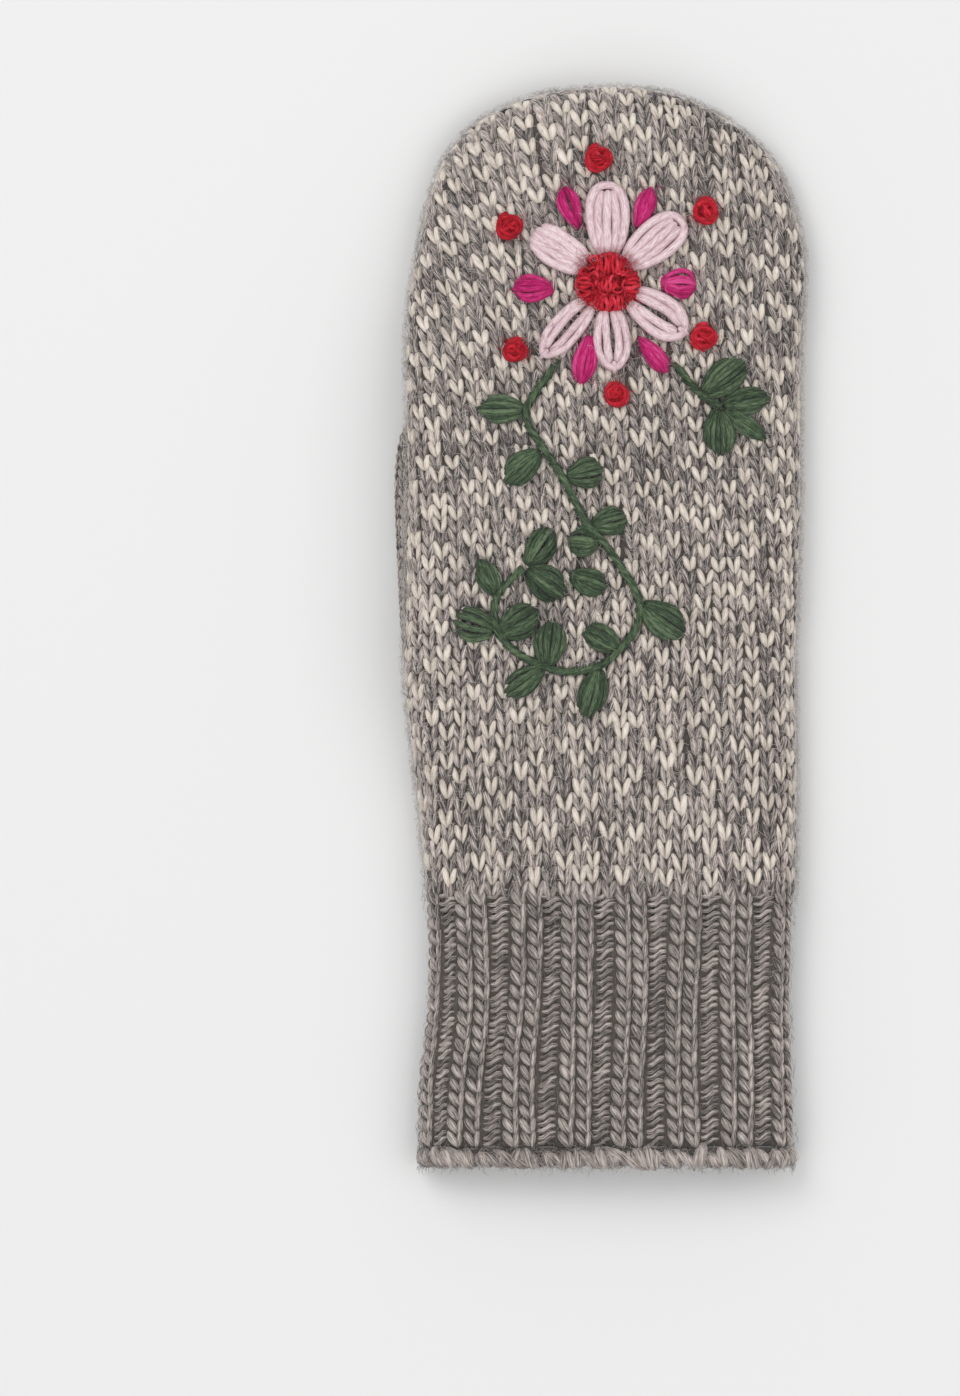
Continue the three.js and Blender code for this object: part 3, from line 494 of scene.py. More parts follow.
def spin(path, out, radius, sides, tone=0.0, dive_shade=0.5, flank_shade=0.16):
    """Closed strands of yarn along many paths at once, which bulge by a radius at each step.

    Shade is painted into the tone: darker where a strand thins to dive between its neighbours, and lighter on
    top but darker on its flanks and underside; the dive and flank shading set how much.
    """
    count, steps = path.shape[:2]
    radius = np.broadcast_to(radius, (count, steps))
    along = unit(np.gradient(path, axis=1))
    side = unit(np.cross(along, out))
    up = np.cross(side, along)
    turn = (np.arange(sides) / sides * 2 * np.pi)[:, None]
    ring = side[:, :, None] * np.cos(turn) + up[:, :, None] * np.sin(turn)
    rings = path[:, :, None] + ring * radius[..., None, None]
    thin = radius / radius.max() - 1
    # Painted shade: darker at the thin ends, lighter on top, darker on the flanks and underside
    ring_shade = ((np.asarray(tone) + np.zeros(count))[:, None, None] + dive_shade * thin[..., None]
                  + flank_shade * (np.sin(turn[:, 0]) - 0.4))
    shade = np.concatenate([ring_shade.reshape(count, -1), ring_shade[:, [0, -1]].mean(-1)], 1)
    # A blunt point shuts each end
    ends = path[:, [0, -1]] + along[:, [0, -1]] * (radius[:, [0, -1]] * np.array([-0.6, 0.6]))[..., None]
    points = np.concatenate([rings.reshape(count, -1, 3), ends], 1)

    quads = skin(steps, sides)[:, [0, 3, 2, 1]]
    j = np.arange(sides)
    k = (j + 1) % sides
    first, last = steps * sides, steps * sides + 1
    tris = np.concatenate([np.stack([j * 0 + first, j, k], -1),
                           np.stack([j * 0 + last, (steps - 1) * sides + k, (steps - 1) * sides + j], -1)])
    # Each strand starts somewhere else along the yarn, so that no two have the same flecks
    run = np.linalg.norm(np.diff(path, axis=1), axis=-1)
    run = np.concatenate([np.zeros((count, 1)), np.cumsum(run, 1)], 1) + draw.uniform(0, 400, (count, 1))
    girth = 2 * np.pi * radius.max()
    row, column = pairs(np.arange(steps - 1), np.arange(sides))
    corner_u = np.stack([column, column, column + 1, column + 1], -1) / sides * girth
    corner_v = np.stack([row, row + 1, row + 1, row], -1)
    quad_uv = np.stack([np.broadcast_to(corner_u, (count,) + corner_u.shape), run[:, corner_v]], -1)
    cap_u = np.concatenate([np.stack([j + 0.5, j, j + 1], -1),
                            np.stack([j + 0.5, j + 1, j], -1)]) / sides * girth
    cap_v = np.concatenate([np.zeros((sides, 3), int), np.full((sides, 3), steps - 1)])
    tri_uv = np.stack([np.broadcast_to(cap_u, (count,) + cap_u.shape), run[:, cap_v]], -1)
    offset = (np.arange(count) * points.shape[1])[:, None, None]
    return {
        "points": points.reshape(-1, 3), "tone": shade.ravel(),
        "quads": (quads + offset).reshape(-1, 4), "tris": (tris + offset).reshape(-1, 3),
        "quad_uv": quad_uv.reshape(-1, 2), "tri_uv": tri_uv.reshape(-1, 2),
    }


def wall(points, quads, tris, tone):
    """Cloth with no strands of its own, in the form that strands have."""
    return {
        "points": points, "tone": np.full(len(points), tone), "quads": quads, "tris": tris,
        "quad_uv": points[quads.ravel()][:, :2], "tri_uv": points[tris.ravel()][:, :2],
    }


def make_piece(name, material, nodes, batches):
    """One mesh of all the given strands, which rides on the mitten and stands for its solids."""
    points, quads, tris, uvs, base = [], [], [], [], 0
    for batch in batches:
        points.append(batch["points"])
        quads.append(batch["quads"] + base)
        tris.append(batch["tris"] + base)
        base += len(batch["points"])
    points = np.concatenate(points) / 1000
    # Stitches that touch the table are pressed flat on it
    points[:, 2] = np.maximum(points[:, 2], 0)
    quads, tris = np.concatenate(quads), np.concatenate(tris)
    uvs = np.concatenate([b["quad_uv"] for b in batches] + [b["tri_uv"] for b in batches])
    mesh = bpy.data.meshes.new(name)
    mesh.vertices.add(len(points))
    mesh.vertices.foreach_set("co", points.ravel())
    corners = np.concatenate([quads.ravel(), tris.ravel()])
    mesh.loops.add(len(corners))
    mesh.loops.foreach_set("vertex_index", corners)
    totals = np.concatenate([np.full(len(quads), 4), np.full(len(tris), 3)])
    mesh.polygons.add(len(totals))
    mesh.polygons.foreach_set("loop_start", np.concatenate([[0], np.cumsum(totals)[:-1]]))
    mesh.polygons.foreach_set("loop_total", totals)
    mesh.polygons.foreach_set("use_smooth", np.ones(len(totals), bool))
    mesh.uv_layers.new(name="strand").data.foreach_set("uv", uvs.ravel())
    tone = mesh.attributes.new("tone", "FLOAT", "POINT")
    tone.data.foreach_set("value", np.concatenate([b["tone"] for b in batches]))
    mesh.update(calc_edges=True)
    mesh.materials.append(material)
    piece = put_in_scene(name, mesh)
    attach(piece, "root")
    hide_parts(*nodes)


def hollow_shell(outer, inner, closed_end):
    """A closed wall between outer and inner rings (rings, points, 3), shut by a cap at a closed end."""
    rings, count = outer.shape[:2]
    outer_skin = skin(rings, count)
    inner_start = rings * count
    j = np.arange(count)
    k = (j + 1) % count
    mouth = np.stack([j, inner_start + j, inner_start + k, k], -1)
    faces = [outer_skin, outer_skin[:, ::-1] + inner_start, mouth]
    points = [outer.reshape(-1, 3), inner.reshape(-1, 3)]
    last = (rings - 1) * count
    tris = np.zeros((0, 3), int)
    if closed_end:
        points += [outer[-1].mean(0, keepdims=True), inner[-1].mean(0, keepdims=True)]
        hub = 2 * inner_start
        inner_last = inner_start + last
        tris = np.concatenate([np.stack([last + j, last + k, j * 0 + hub], -1),
                               np.stack([inner_last + k, inner_last + j, j * 0 + hub + 1], -1)])
    else:
        faces.append(np.stack([last + j, last + k, inner_start + last + k, inner_start + last + j], -1))
    return wall(np.concatenate(points), np.concatenate(faces), tris, 0.0)


def loose_fibres(cloth, u, v, base, length=2.8, thick=0.045, across=1.0, tall=0.9, curl=0.9):
    """Fine hairs that stand a little out of the wool, drawn thicker than real ones, so that they show."""
    count = len(u)
    turn = draw.uniform(0, 2 * np.pi, (count, 1))
    bend = draw.normal(0, curl, (count, 1))
    t = np.linspace(0, 1, 3)[None, :]
    reach_by = length * draw.uniform(0.6, 1.5, (count, 1))
    u = u[:, None] + np.cos(turn + bend * t) * reach_by * t * across
    v = v[:, None] + np.sin(turn + bend * t) * reach_by * t
    lifted = draw.uniform(0.15, tall, (count, 1))
    height = base + lifted * np.sin(t * np.pi * draw.uniform(0.45, 0.9, (count, 1)))
    return spin(*cloth.lay(u, v, height), thick * np.array([1, 0.95, 0.45]), 3, draw.normal(0, 0.1, count))


# Half a knitted stitch: up in rows, out in stitch widths, then height and half thickness in mm
LEFT_LEG = np.array([
    (-0.84, 0.0, -1.9, 0.13), (-0.56, 0.1, -1.08, 0.55), (-0.2, 0.21, -0.81, 0.79),
    (0.12, 0.295, -0.78, 0.87), (0.46, 0.385, -0.93, 0.73), (0.76, 0.455, -2.0, 0.14),
])
RIGHT_LEG = np.array([
    (-0.84, 0.05, -1.9, 0.13), (-0.56, 0.12, -1.08, 0.54), (-0.2, 0.215, -0.83, 0.77),
    (0.12, 0.285, -0.79, 0.84), (0.46, 0.37, -0.93, 0.71), (0.76, 0.42, -2.0, 0.14),
])
LEG_FOOT = -0.84
# Uneven hand knitting, as spreads: a stitch's place in mm, then its legs' lean, girth and length
PLACE_SPREAD, LEAN_SPREAD, GIRTH_SPREAD, LENGTH_SPREAD = 0.13, 0.045, 0.09, 0.08
# The same for tone, from stitch to stitch and from leg to leg, and how much painted shade darkens a leg's
# flanks and lightens its top
STITCH_TONE, LEG_TONE, LEG_FLANK_SHADE = 0.07, 0.08, 0.26


def stitch_legs(cloth, u, v, width, row, sides=6, steps=None, size=1.0, turn=0.0, drop=0.0, slant=0.0,
                mottle=1.0):
    """Both legs of many knitted stitches, each a little uneven; slant leans them to the left."""
    batches = []
    count = len(u)
    width = np.broadcast_to(width, (count,))[:, None]
    slant = np.broadcast_to(slant, (count,))[:, None]
    shift = draw.normal(0, PLACE_SPREAD, (count, 2))
    stitch_tone = draw.normal(0, STITCH_TONE * mottle, count)
    scale = width / STITCH
    angle = np.asarray(turn).reshape(-1, 1)
    for leg, hand_side in ((LEFT_LEG, -1), (RIGHT_LEG, 1)):
        leg = leg if steps is None else leg[steps]
        lean = draw.normal(0, LEAN_SPREAD, (count, 1))
        grow = draw.normal(1, GIRTH_SPREAD, (count, 1)) * size
        long = draw.normal(1, LENGTH_SPREAD, (count, 1))
        across = hand_side * (leg[:, 1] + lean * (leg[:, 0] - LEG_FOOT)) * width + shift[:, :1]
        up = leg[:, 0] * np.asarray(row).reshape(-1, 1) * long + shift[:, 1:]
        across = across - slant * up
        place_u = u[:, None] + across * np.cos(angle) - up * np.sin(angle)
        place_v = v[:, None] + across * np.sin(angle) + up * np.cos(angle)
        height = leg[:, 2] * scale * (0.5 + 0.5 * grow) - drop
        path, out = cloth.lay(place_u, place_v, height)
        tone = stitch_tone + draw.normal(0, LEG_TONE * mottle, count)
        batches.append(spin(path, out, leg[:, 3] * scale * grow, sides, tone, flank_shade=LEG_FLANK_SHADE))
    return batches


# ---------------------------------------------------------------- knitted hand

# The rows grow shorter above the ribs, between these heights
SHORTENING = (92, 118)
rows = [HAND_START + 0.4]
while rows[-1] < HAND_END + 6:
    rows.append(rows[-1] + LOW_ROW + (ROW - LOW_ROW) * rise(rows[-1], *SHORTENING))
rows = np.array(rows)
FIRST_COLUMN = -7.2
columns = np.arange(-15, 21)
# Half the width of the column that runs round the side folds, which the other columns leave free
SIDE_COLUMN = 1.7
# The share of off-white stitches in that column
SIDE_WHITE = 0.33
# How often the off-white yarn is one stitch too far to the left, and as often to the right
SLIP = 0.015
# The folded thumb hides the palm this far to either side of its middle
THUMB_HIDES = 17
# The back's grey stitches are two pieces that meet at this height, so that neither is too heavy
BACK_SPLIT = 170


def column_slant(u, v):
    """The columns lean a little to the left, and most of all near the crown on the thumb's side."""
    return 0.015 + 0.06 * rise(v, 120, 190) + 0.16 * rise(v, 170, 250) * rise(-u, -10, 42)


column_u = [FIRST_COLUMN + columns * STITCH]
for v, tall in zip(rows[:-1], np.diff(rows)):
    column_u.append(column_u[-1] - column_slant(column_u[-1], v) * tall)
column_u = np.array(column_u)
column_width = np.gradient(column_u, axis=1)


def hand_stitches(keep=lambda u, v: True):
    """The rows and columns of the speckled knitting: grey stitches, then off-white ones."""
    column, row = pairs(columns, np.arange(len(rows)))
    place = column - columns[0]
    u, v = column_u[row, place], rows[row]
    wide, slant = column_width[row, place], 2 * column_slant(u, v)
    # Hand knitting wanders: each column sways a little, and the rows ripple
    sway = draw.uniform(0, 2 * np.pi, (2, len(columns)))[:, place]
    u, v = (u + 0.32 * np.sin(v / 8 + sway[0]) + 0.22 * np.sin(v / 19 + sway[1]),
            v + 0.4 * np.sin(u / 11 + v / 31) + 0.25 * np.sin(u / 5 - v / 17))
    kept = (hand.round_fold(u, v) > SIDE_COLUMN) & keep(u, v)
    slip = draw.choice([-1, 0, 1], len(u), p=[SLIP, 1 - 2 * SLIP, SLIP])
    white = np.array([(c % REPEAT) in SPECKLE[r % len(SPECKLE)] for c, r in zip(column + slip, row)])
    tall = np.gradient(rows)[row]
    return [(u[pick], v[pick], wide[pick], tall[pick], slant[pick]) for pick in (kept & ~white, kept & white)]


def clear_of_thumb(u, v):
    """False where the folded thumb hides the palm."""
    hidden = (np.abs(u - thumb_middle(v)) < THUMB_HIDES) & (v > THUMB_START + 6) & (v < THUMB_END - 7)
    return ~hidden


back_grey, back_white = hand_stitches()
palm_grey, palm_white = hand_stitches(clear_of_thumb)
# Stitches that the photograph hides are drawn with fewer points
HIDDEN = {"sides": 5, "steps": [0, 1, 3, 4, 5]}
# Off-white stitches are a little fatter and more even than grey ones
WHITE = {"size": 1.04, "mottle": 0.5}


def knit(name, material, cloth, stitches, **settings):
    u, v, wide, tall, slant = stitches
    make_piece(name, material, ["hand"],
               stitch_legs(cloth, u, v, wide, tall, slant=slant, **settings))


upper = back_grey[1] > BACK_SPLIT
knit("back_lower_grey_stitches", HEATHER, back_cloth, [a[~upper] for a in back_grey])
knit("back_upper_grey_stitches", HEATHER, back_cloth, [a[upper] for a in back_grey])
knit("back_white_stitches", NATURAL, back_cloth, back_white, **WHITE)
knit("palm_grey_stitches", HEATHER, palm_cloth, palm_grey, drop=0.12, **HIDDEN)
knit("palm_white_stitches", NATURAL, palm_cloth, palm_white, drop=0.12, **HIDDEN, **WHITE)


def side_band(tube, start, row):
    """Places and turns of one column of stitches that follows the side line round a tube."""
    low = tube.y[0] + start * (start < 0)
    border = np.vstack([[tube.left[0], low], np.c_[tube.left, tube.y], np.c_[tube.right, tube.y][::-1],
                        [tube.right[0], low]])
    start = max(start, 0.0)
    run = run_along(border)
    at = np.arange(start, run[-1] - start, row)
    edge, inward = tube.cloth_edge(points_along(border, run, at))
    # Both sides are knitted upwards, so the stitches turn over at the tip
    turn = np.arctan2(inward[:, 1], inward[:, 0])
    return edge[:, 0], edge[:, 1], np.where(at < run[-1] / 2, turn, turn + np.pi)


u, v, turn = side_band(hand, 1.0, ROW)
band_white = draw.random(len(u)) < SIDE_WHITE
for name, material, pick in (("side_grey_stitches", HEATHER, ~band_white),
                             ("side_white_stitches", NATURAL, band_white)):
    make_piece(name, material, ["hand"],
               stitch_legs(back_cloth, u[pick], v[pick], STITCH, ROW, turn=turn[pick]))


def line_tube(name, node, tube, cloths, start, end, shoulder, rings, points, depths):
    """The plain wall behind a tube's stitches: even rings to its shoulder, then closer ones to its tip."""
    reach = end + FOLD_EXTRA * tube.fold
    tip = 1 - np.sin(np.linspace(0, 0.985, rings[1])[1:] * np.pi / 2)
    stations = np.concatenate([np.linspace(start, end - shoulder, rings[0]),
                               reach - (reach - end + shoulder) * tip])
    edges = [tube.cloth_edge(np.c_[side, tube.y])[0] for side in (tube.left, tube.right)]
    share = (1 - np.cos(np.linspace(0, np.pi, points))) / 2
    walls = [[], []]
    for v in stations:
        low, high = (np.interp(v, e[:, 1], e[:, 0]) for e in edges)
        for found, depth in zip(walls, depths):
            top, under = (cloth.lay(low + (high - low) * share, v, -depth)[0] for cloth in cloths)
            found.append(np.concatenate([under, top[::-1][1:-1]]))
    # The wall is in the darker wool that paints the shade behind the stitches
    make_piece(name, SHADED_BEHIND, [node], [hollow_shell(*np.array(walls), True)])


line_tube("hand_inside", "hand", hand, (back_cloth, palm_cloth),
          HAND_START - 1.5, HAND_END, 32, (34, 18), 32, (1.2, WALL))


# ---------------------------------------------------------------- ribbed cuff

# How deep the troughs are, where the ribs' relief ends, and a rib's width with its trough, in mm
RIB_DEPTH, RIB_TOP, RIB_WIDTH = 1.8, 67.5, 13.8

# Each ridge has two columns of stitches: a fat slanting leg, then a narrower upright one
RIB_LEFT_LEG = np.array([
    (-0.62, 0.2, -2.0, 0.25), (-0.42, 0.11, -1.2, 0.66), (-0.15, -0.05, -0.72, 0.93),
    (0.12, -0.2, -0.66, 0.97), (0.36, -0.33, -0.9, 0.78), (0.56, -0.42, -1.7, 0.3),
])
RIB_RIGHT_LEG = np.array([
    (-0.72, 0.24, -1.8, 0.2), (-0.46, 0.255, -1.15, 0.56), (-0.15, 0.28, -0.92, 0.72),
    (0.2, 0.295, -0.9, 0.74), (0.5, 0.305, -1.1, 0.6), (0.72, 0.31, -1.8, 0.22),
])
# A column's distance from the ridge's middle in ribs, and its stitches' width in mm
RIB_COLUMN, RIB_STITCH = 0.155, 4.3
batches = []
rib, row = pairs(np.arange(RIBS), np.arange(CUFF_START + 1.7, RIB_TOP + 0.5, RIB_ROW))
for column in (-RIB_COLUMN, RIB_COLUMN):
    for leg in (RIB_LEFT_LEG, RIB_RIGHT_LEG):
        count = len(rib)
        shift = draw.normal(0, 0.09, (count, 2)) + 0.4 * np.sin(row / 11 + rib * 2.3)[:, None] * [1, 0]
        # The cloth of the cuff runs right to left on the upper face
        across = rib[:, None] + 0.5 - column - (leg[:, 1] * RIB_STITCH + shift[:, :1]) / RIB_WIDTH
        up = row[:, None] + leg[:, 0] * RIB_ROW * draw.normal(1, 0.05, (count, 1)) + shift[:, 1:]
        grow = draw.normal(1, 0.06, (count, 1))
        path, out = cuff_face.lay(across, up, leg[:, 2] - 0.1)
        batches.append(spin(path, out, leg[:, 3] * grow, 6, draw.normal(0, 0.06, count)))
# One plain grey row joins the ribs to the hand
u = FIRST_COLUMN + columns * STITCH
v = np.full(len(u), rows[0] - 3.5)
pick = hand.round_fold(u, v) > SIDE_COLUMN
for cloth in (back_cloth, palm_cloth):
    batches += stitch_legs(cloth, u[pick], v[pick], STITCH, 3.6, drop=0.15)
u, v, turn = side_band(hand, -3.1, LOW_ROW)
pick = v < HAND_START
batches += stitch_legs(back_cloth, u[pick], v[pick], STITCH, LOW_ROW, turn=turn[pick])
make_piece("cuff_rib_stitches", RIB_HEATHER, ["cuff"], batches)

# Purl bars across each trough: two to a row, wavy and rising to one side
BAR_REACH = 0.205
BAR_GIRTH = np.array([0.3, 0.58, 0.7, 0.64, 0.7, 0.58, 0.3])
rib, row = pairs(np.arange(RIBS), np.arange(CUFF_START + 1.1, RIB_TOP + 1.6, RIB_ROW / 2))
count = len(rib)
along = np.linspace(-1, 1, len(BAR_GIRTH))
across = rib[:, None] - along * BAR_REACH + draw.normal(0, 0.01, (count, 1))
slope = draw.normal(1.15, 0.2, (count, 1))
up = row[:, None] + along * slope + 0.36 * np.sin(along * np.pi * 1.4) + draw.normal(0, 0.15, (count, 1))
depth = RIB_DEPTH * (1 - 0.75 * rise(row, RIB_TOP - 9, RIB_TOP))[:, None]
height = -depth - 0.5 - 0.3 * np.cos(along * np.pi) - 0.3 * np.abs(along) ** 3
bars = spin(*cuff_face.lay(across, up, height), BAR_GIRTH * draw.normal(1, 0.08, (count, 1)), 5,
            draw.normal(-0.02, 0.08, count), flank_shade=0.2)
make_piece("cuff_purl_bars", RIB_HEATHER, ["cuff"], [bars])

# The plain wall behind the ribs follows their relief: ridges at the middle of each rib, troughs between
across, up = np.meshgrid(np.arange(0, RIBS, 1 / 10), np.linspace(CUFF_START - 0.3, CUFF_END + 0.2, 14))
sunk = RIB_DEPTH * rise(np.abs((across % 1) - 0.5), 0.26, 0.42) * 0.8 * (1 - rise(up, RIB_TOP - 7, RIB_TOP))
outer = cuff_face.lay(across, up, -1.25 - sunk)[0]
inner = cuff_face.lay(across, up, -CUFF_WALL)[0]
# The wall is in the darker wool that paints the shade in the troughs and behind the stitches
make_piece("cuff_inside", SHADED_BEHIND, ["cuff"], [hollow_shell(outer, inner, False)])


# ---------------------------------------------------------------- cast-on edge

# Wraps of yarn round the roll: how many, how far each goes round in radians, either way, and its girth
WRAPS, WRAP_TURN = 150, 2.0
WRAP_GIRTH = np.array([0.5, 0.84, 1.05, 1.12, 1.05, 0.84, 0.5])
ROLL_DEEP, ROLL_LONG = 1.45, 1.7
start = np.arange(WRAPS) / WRAPS * RIBS + draw.normal(0, 0.025, WRAPS)
along = np.linspace(-1, 1, len(WRAP_GIRTH))
wrap = along * WRAP_TURN
big = draw.normal(1, 0.16, (WRAPS, 1))
across = start[:, None] + along * draw.normal(0.14, 0.15, (WRAPS, 1))
centre, out = cuff_face.lay(across, CUFF_START, -EDGE_HEIGHT / 2)
path = centre + out * (np.cos(wrap) * ROLL_DEEP * big)[..., None]
path[..., 1] += -CUFF_START - 0.45 + np.sin(wrap) * ROLL_LONG * big + draw.normal(0, 0.22, (WRAPS, 1))
turned = out * np.cos(wrap)[:, None]
turned[..., 1] += np.sin(wrap)
path[..., 2] = np.maximum(path[..., 2], 0.75)
roll = spin(path, turned, WRAP_GIRTH * big, 6, draw.normal(0.05, 0.09, WRAPS), dive_shade=0.24, flank_shade=0.06)
# A core painted dark, as the shade in the gaps between the wraps, closes those gaps
CORE_SIDES, CORE_DEEP, CORE_LONG, CORE_SHADE = 8, 1.35, 2.1, -0.7
across = np.arange(0, RIBS, 1 / 8)
ring, out = cuff_face.lay(across, CUFF_START, -EDGE_HEIGHT / 2)
ring[:, 1] = 0
core_turn = np.arange(CORE_SIDES) / CORE_SIDES * 2 * np.pi
core = ring[:, None] + out[:, None] * (np.cos(core_turn) * CORE_DEEP)[:, None]
core[..., 1] += np.sin(core_turn) * CORE_LONG + 0.6
core_skin = skin(len(core), CORE_SIDES, joined=True)
core_part = wall(core.reshape(-1, 3), core_skin, np.zeros((0, 3), int), CORE_SHADE)
EDGE_FUZZ = 2300
fuzz = loose_fibres(cuff_face, draw.uniform(0.1, RIBS - 0.1, EDGE_FUZZ), draw.uniform(-2.8, 2.4, EDGE_FUZZ),
                    -0.9, 2.2, 0.05, across=1 / RIB_WIDTH, tall=1.3, curl=1.8)
make_piece("cast_on_roll", RIB_HEATHER, ["cast_on_edge"], [roll, core_part, fuzz])


# ---------------------------------------------------------------- thumb

# From the side line: how far its own column of stitches goes, and how far in the upper face can be seen
THUMB_SIDE_COLUMN, THUMB_SHOWS = 1.4, 9
batches = []
for cloth in (thumb_top_cloth, thumb_under_cloth):
    column, v = pairs(np.arange(-9, 10), np.arange(THUMB_START + 1.2, THUMB_END + 5, THUMB_ROW))
    u = thumb_middle(v) + column * THUMB_STITCH
    from_side = thumb.round_fold(u, v)
    kept = from_side > THUMB_SIDE_COLUMN
    # The palm hides the rest of the thumb's upper face
    if cloth is thumb_top_cloth:
        kept &= from_side < THUMB_SHOWS
    batches += stitch_legs(cloth, u[kept], v[kept], THUMB_STITCH, THUMB_ROW, drop=0.1, **HIDDEN)
u, v, turn = side_band(thumb, 1.0, THUMB_ROW)
batches += stitch_legs(thumb_under_cloth, u, v, THUMB_STITCH, THUMB_ROW, turn=turn, **HIDDEN)
make_piece("thumb_stitches", RIB_HEATHER, ["thumb"], batches)
line_tube("thumb_inside", "thumb", thumb, (thumb_top_cloth, thumb_under_cloth),
          THUMB_START + 0.5, THUMB_END, 16, (14, 12), 24, (0.95, 1.9))


# ---------------------------------------------------------------- embroidery

# The ends of petals', buds' and leaves' strands sink this far below the stitches' tops, in mm
SUNK = 0.9
# Satin stitch: its strands, half their thickness in mm, how many times that they part in the middle, how
# rounded and how blunt the tip is, how far the middle strands rise in mm, and how wide the foot is
BUD_STITCH = {"strands": 6, "yarn": 0.76, "slit": 0.5, "rounding": 0.06, "blunt": 0.5,
              "rise_by": 0.7, "foot_width": 0.2, "sides": 7, "steps": 11}
LEAF_STITCH = {"strands": 8, "yarn": 0.7, "slit": 0.28, "rounding": 0.16, "blunt": 0.12,
               "rise_by": 0.9, "foot_width": 0.16, "sides": 6, "steps": 9}
# A leaf's strands go a little past the outline of its pad, to the sides and at the tip
LEAF_WIDER, LEAF_LONGER = 1.14, 0.05
flower = np.array([0.0, FLOWER_Y])


def turned_from_flower(turn, distance):
    angle = np.radians(turn)
    return np.array([np.cos(angle) * distance, FLOWER_Y + np.sin(angle) * distance])


def motif_place(right, up):
    return np.array([right * HAND_WIDTH, FLOWER_Y + up * HAND_WIDTH])


def beside(foot, way, along, aside):
    """Places so far along a way from its foot, and so far to the left of it."""
    return foot[0] + way[0] * along - way[1] * aside, foot[1] + way[1] * along + way[0] * aside


def satin(foot, tip, width, strands, yarn, slit, rounding, blunt, rise_by, foot_width, sides, steps):
    """Strands laid side by side from a foot to a tip, spread apart round a slit in their middle."""
    length = np.linalg.norm(tip - foot)
    share = np.linspace(-1, 1, strands)[:, None] + draw.normal(0, 0.07, (strands, 1))
    t = np.linspace(0, 1, steps)[None, :]
    place = t * (1 - rounding * share ** 2) + draw.normal(0, 0.01, (strands, 1))
    spread = foot_width + (1 - foot_width) * np.sin(np.clip(t * 0.72, 0, 1) * np.pi) ** 0.8
    spread = spread * (1 - blunt * rise(t, 0.75, 1.05))
    half = (width / 2 - yarn) * spread * share
    half = half + np.sign(share) * slit * yarn * np.sin(np.clip((t - 0.15) / 0.85, 0, 1) * np.pi) ** 1.5
    x, y = beside(foot, (tip - foot) / length, place * length, half)
    arch = np.sin(t * np.pi) ** 0.45
    height = -SUNK + arch * (SUNK + yarn * 0.95 + rise_by * (1 - 0.75 * share ** 2))
    girth = yarn * (0.55 + 0.45 * np.sin(t * np.pi) ** 0.35) * draw.normal(1, 0.08, (strands, 1))
    return spin(*back_cloth.lay(x, y, height), girth, sides, draw.normal(0, 0.11, strands), flank_shade=0.26)


def petal(foot, tip, width, yarn, loop, strands):
    """A loop of thick yarn, straight strands within it, and on a narrow petal a stitch that holds its tip."""
    length = np.linalg.norm(tip - foot)
    inset = 1.56 * yarn * loop
    narrow = strands == 2
    runs = []
    if loop:
        # From the foot out along one side, round the tip and back along the other
        trip = np.linspace(-1, 1, 35)[None, :]
        turn = np.pi * (1 - np.abs(trip))
        bow = np.sin(turn) ** 0.8 * np.sin(turn / 2) ** 0.8 / 0.86 + 0.4 * np.cos(turn / 2) ** 1.5
        runs.append(((length - yarn) * (1 - np.cos(turn)) / 2, np.sign(trip) * bow * (width / 2 - yarn), 0,
                     draw.uniform(0, 6, (1, 1)) + trip * 4, 10, yarn, False))
    t = np.linspace(0, 1, 17)[None, :]
    share = np.linspace(-1, 1, strands)[:, None]
    bow = 0.5 + 0.5 * np.sin(np.clip(t * 0.8, 0, 1) * np.pi) ** 0.8 - 0.12 * rise(t, 0.7, 1)
    along = t * (length - yarn - inset * 0.8) * (1 - 0.07 * share ** 2 * (not loop))
    runs.append((along, share * (width / 2 - yarn - inset) * bow, 0.5 - 0.35 * share ** 2,
                 draw.uniform(0, 6, (strands, 1)) + t * 6, 10, yarn, True))
    if narrow:
        t = np.linspace(0, 1, 9)[None, :]
        runs.append((length - 2.2 * yarn + t * (2.2 * yarn + 0.3), 0 * t, yarn * 0.7, t, 7, 0.7, True))
    batches = []
    for along, side, lift, phase, sides, thick, dives_at_tip in runs:
        side = side * (1 - 0.3 * narrow * rise(along / length, 0.68, 1)) + 0.16 * np.sin(phase)
        lifted = rise(along / length, 0, 0.16) * (1 - 0.2 * rise(along / length, 0.8, 1))
        if dives_at_tip:
            share = along / along.max(1, keepdims=True)
            lifted = lifted * np.cos(np.clip((share - 0.93) / 0.07, 0, 1) * np.pi / 2)
        x, y = beside(foot, (tip - foot) / length, along, side)
        path, out = back_cloth.lay(x, y, -SUNK + lifted * (SUNK + yarn + lift))
        girth = thick * (0.62 + 0.38 * lifted) * (1 + 0.05 * np.sin(phase * 2.3))
        batches.append(spin(path, out, girth, sides, draw.normal(0, 0.05, len(path)), dive_shade=0.3, flank_shade=0.24))
    return batches


def motif_hairs(middle, way, width, count, height, curl=0.9):
    """Fine hairs of a motif's own yarn, over it and a little way round it."""
    along = draw.uniform(-0.55, 0.55, count) * np.linalg.norm(way)
    aside = draw.uniform(-0.6, 0.6, count) * width
    return loose_fibres(back_cloth, *beside(middle, unit(way), along, aside), height, 2.2, curl=curl)


for name, turn, length, width, yarn, loop, strands in PETALS:
    foot = turned_from_flower(turn, CENTRE_RADIUS - 1.2)
    tip = turned_from_flower(turn, length * PETAL_REACH)
    wide = width * PETAL_REACH
    hairs = motif_hairs((foot + tip) / 2, tip - foot, wide, 110, 1.6)
    make_piece(name + "_strands", PINK, [name],
               petal(foot, tip, wide, yarn, loop, strands) + [hairs])

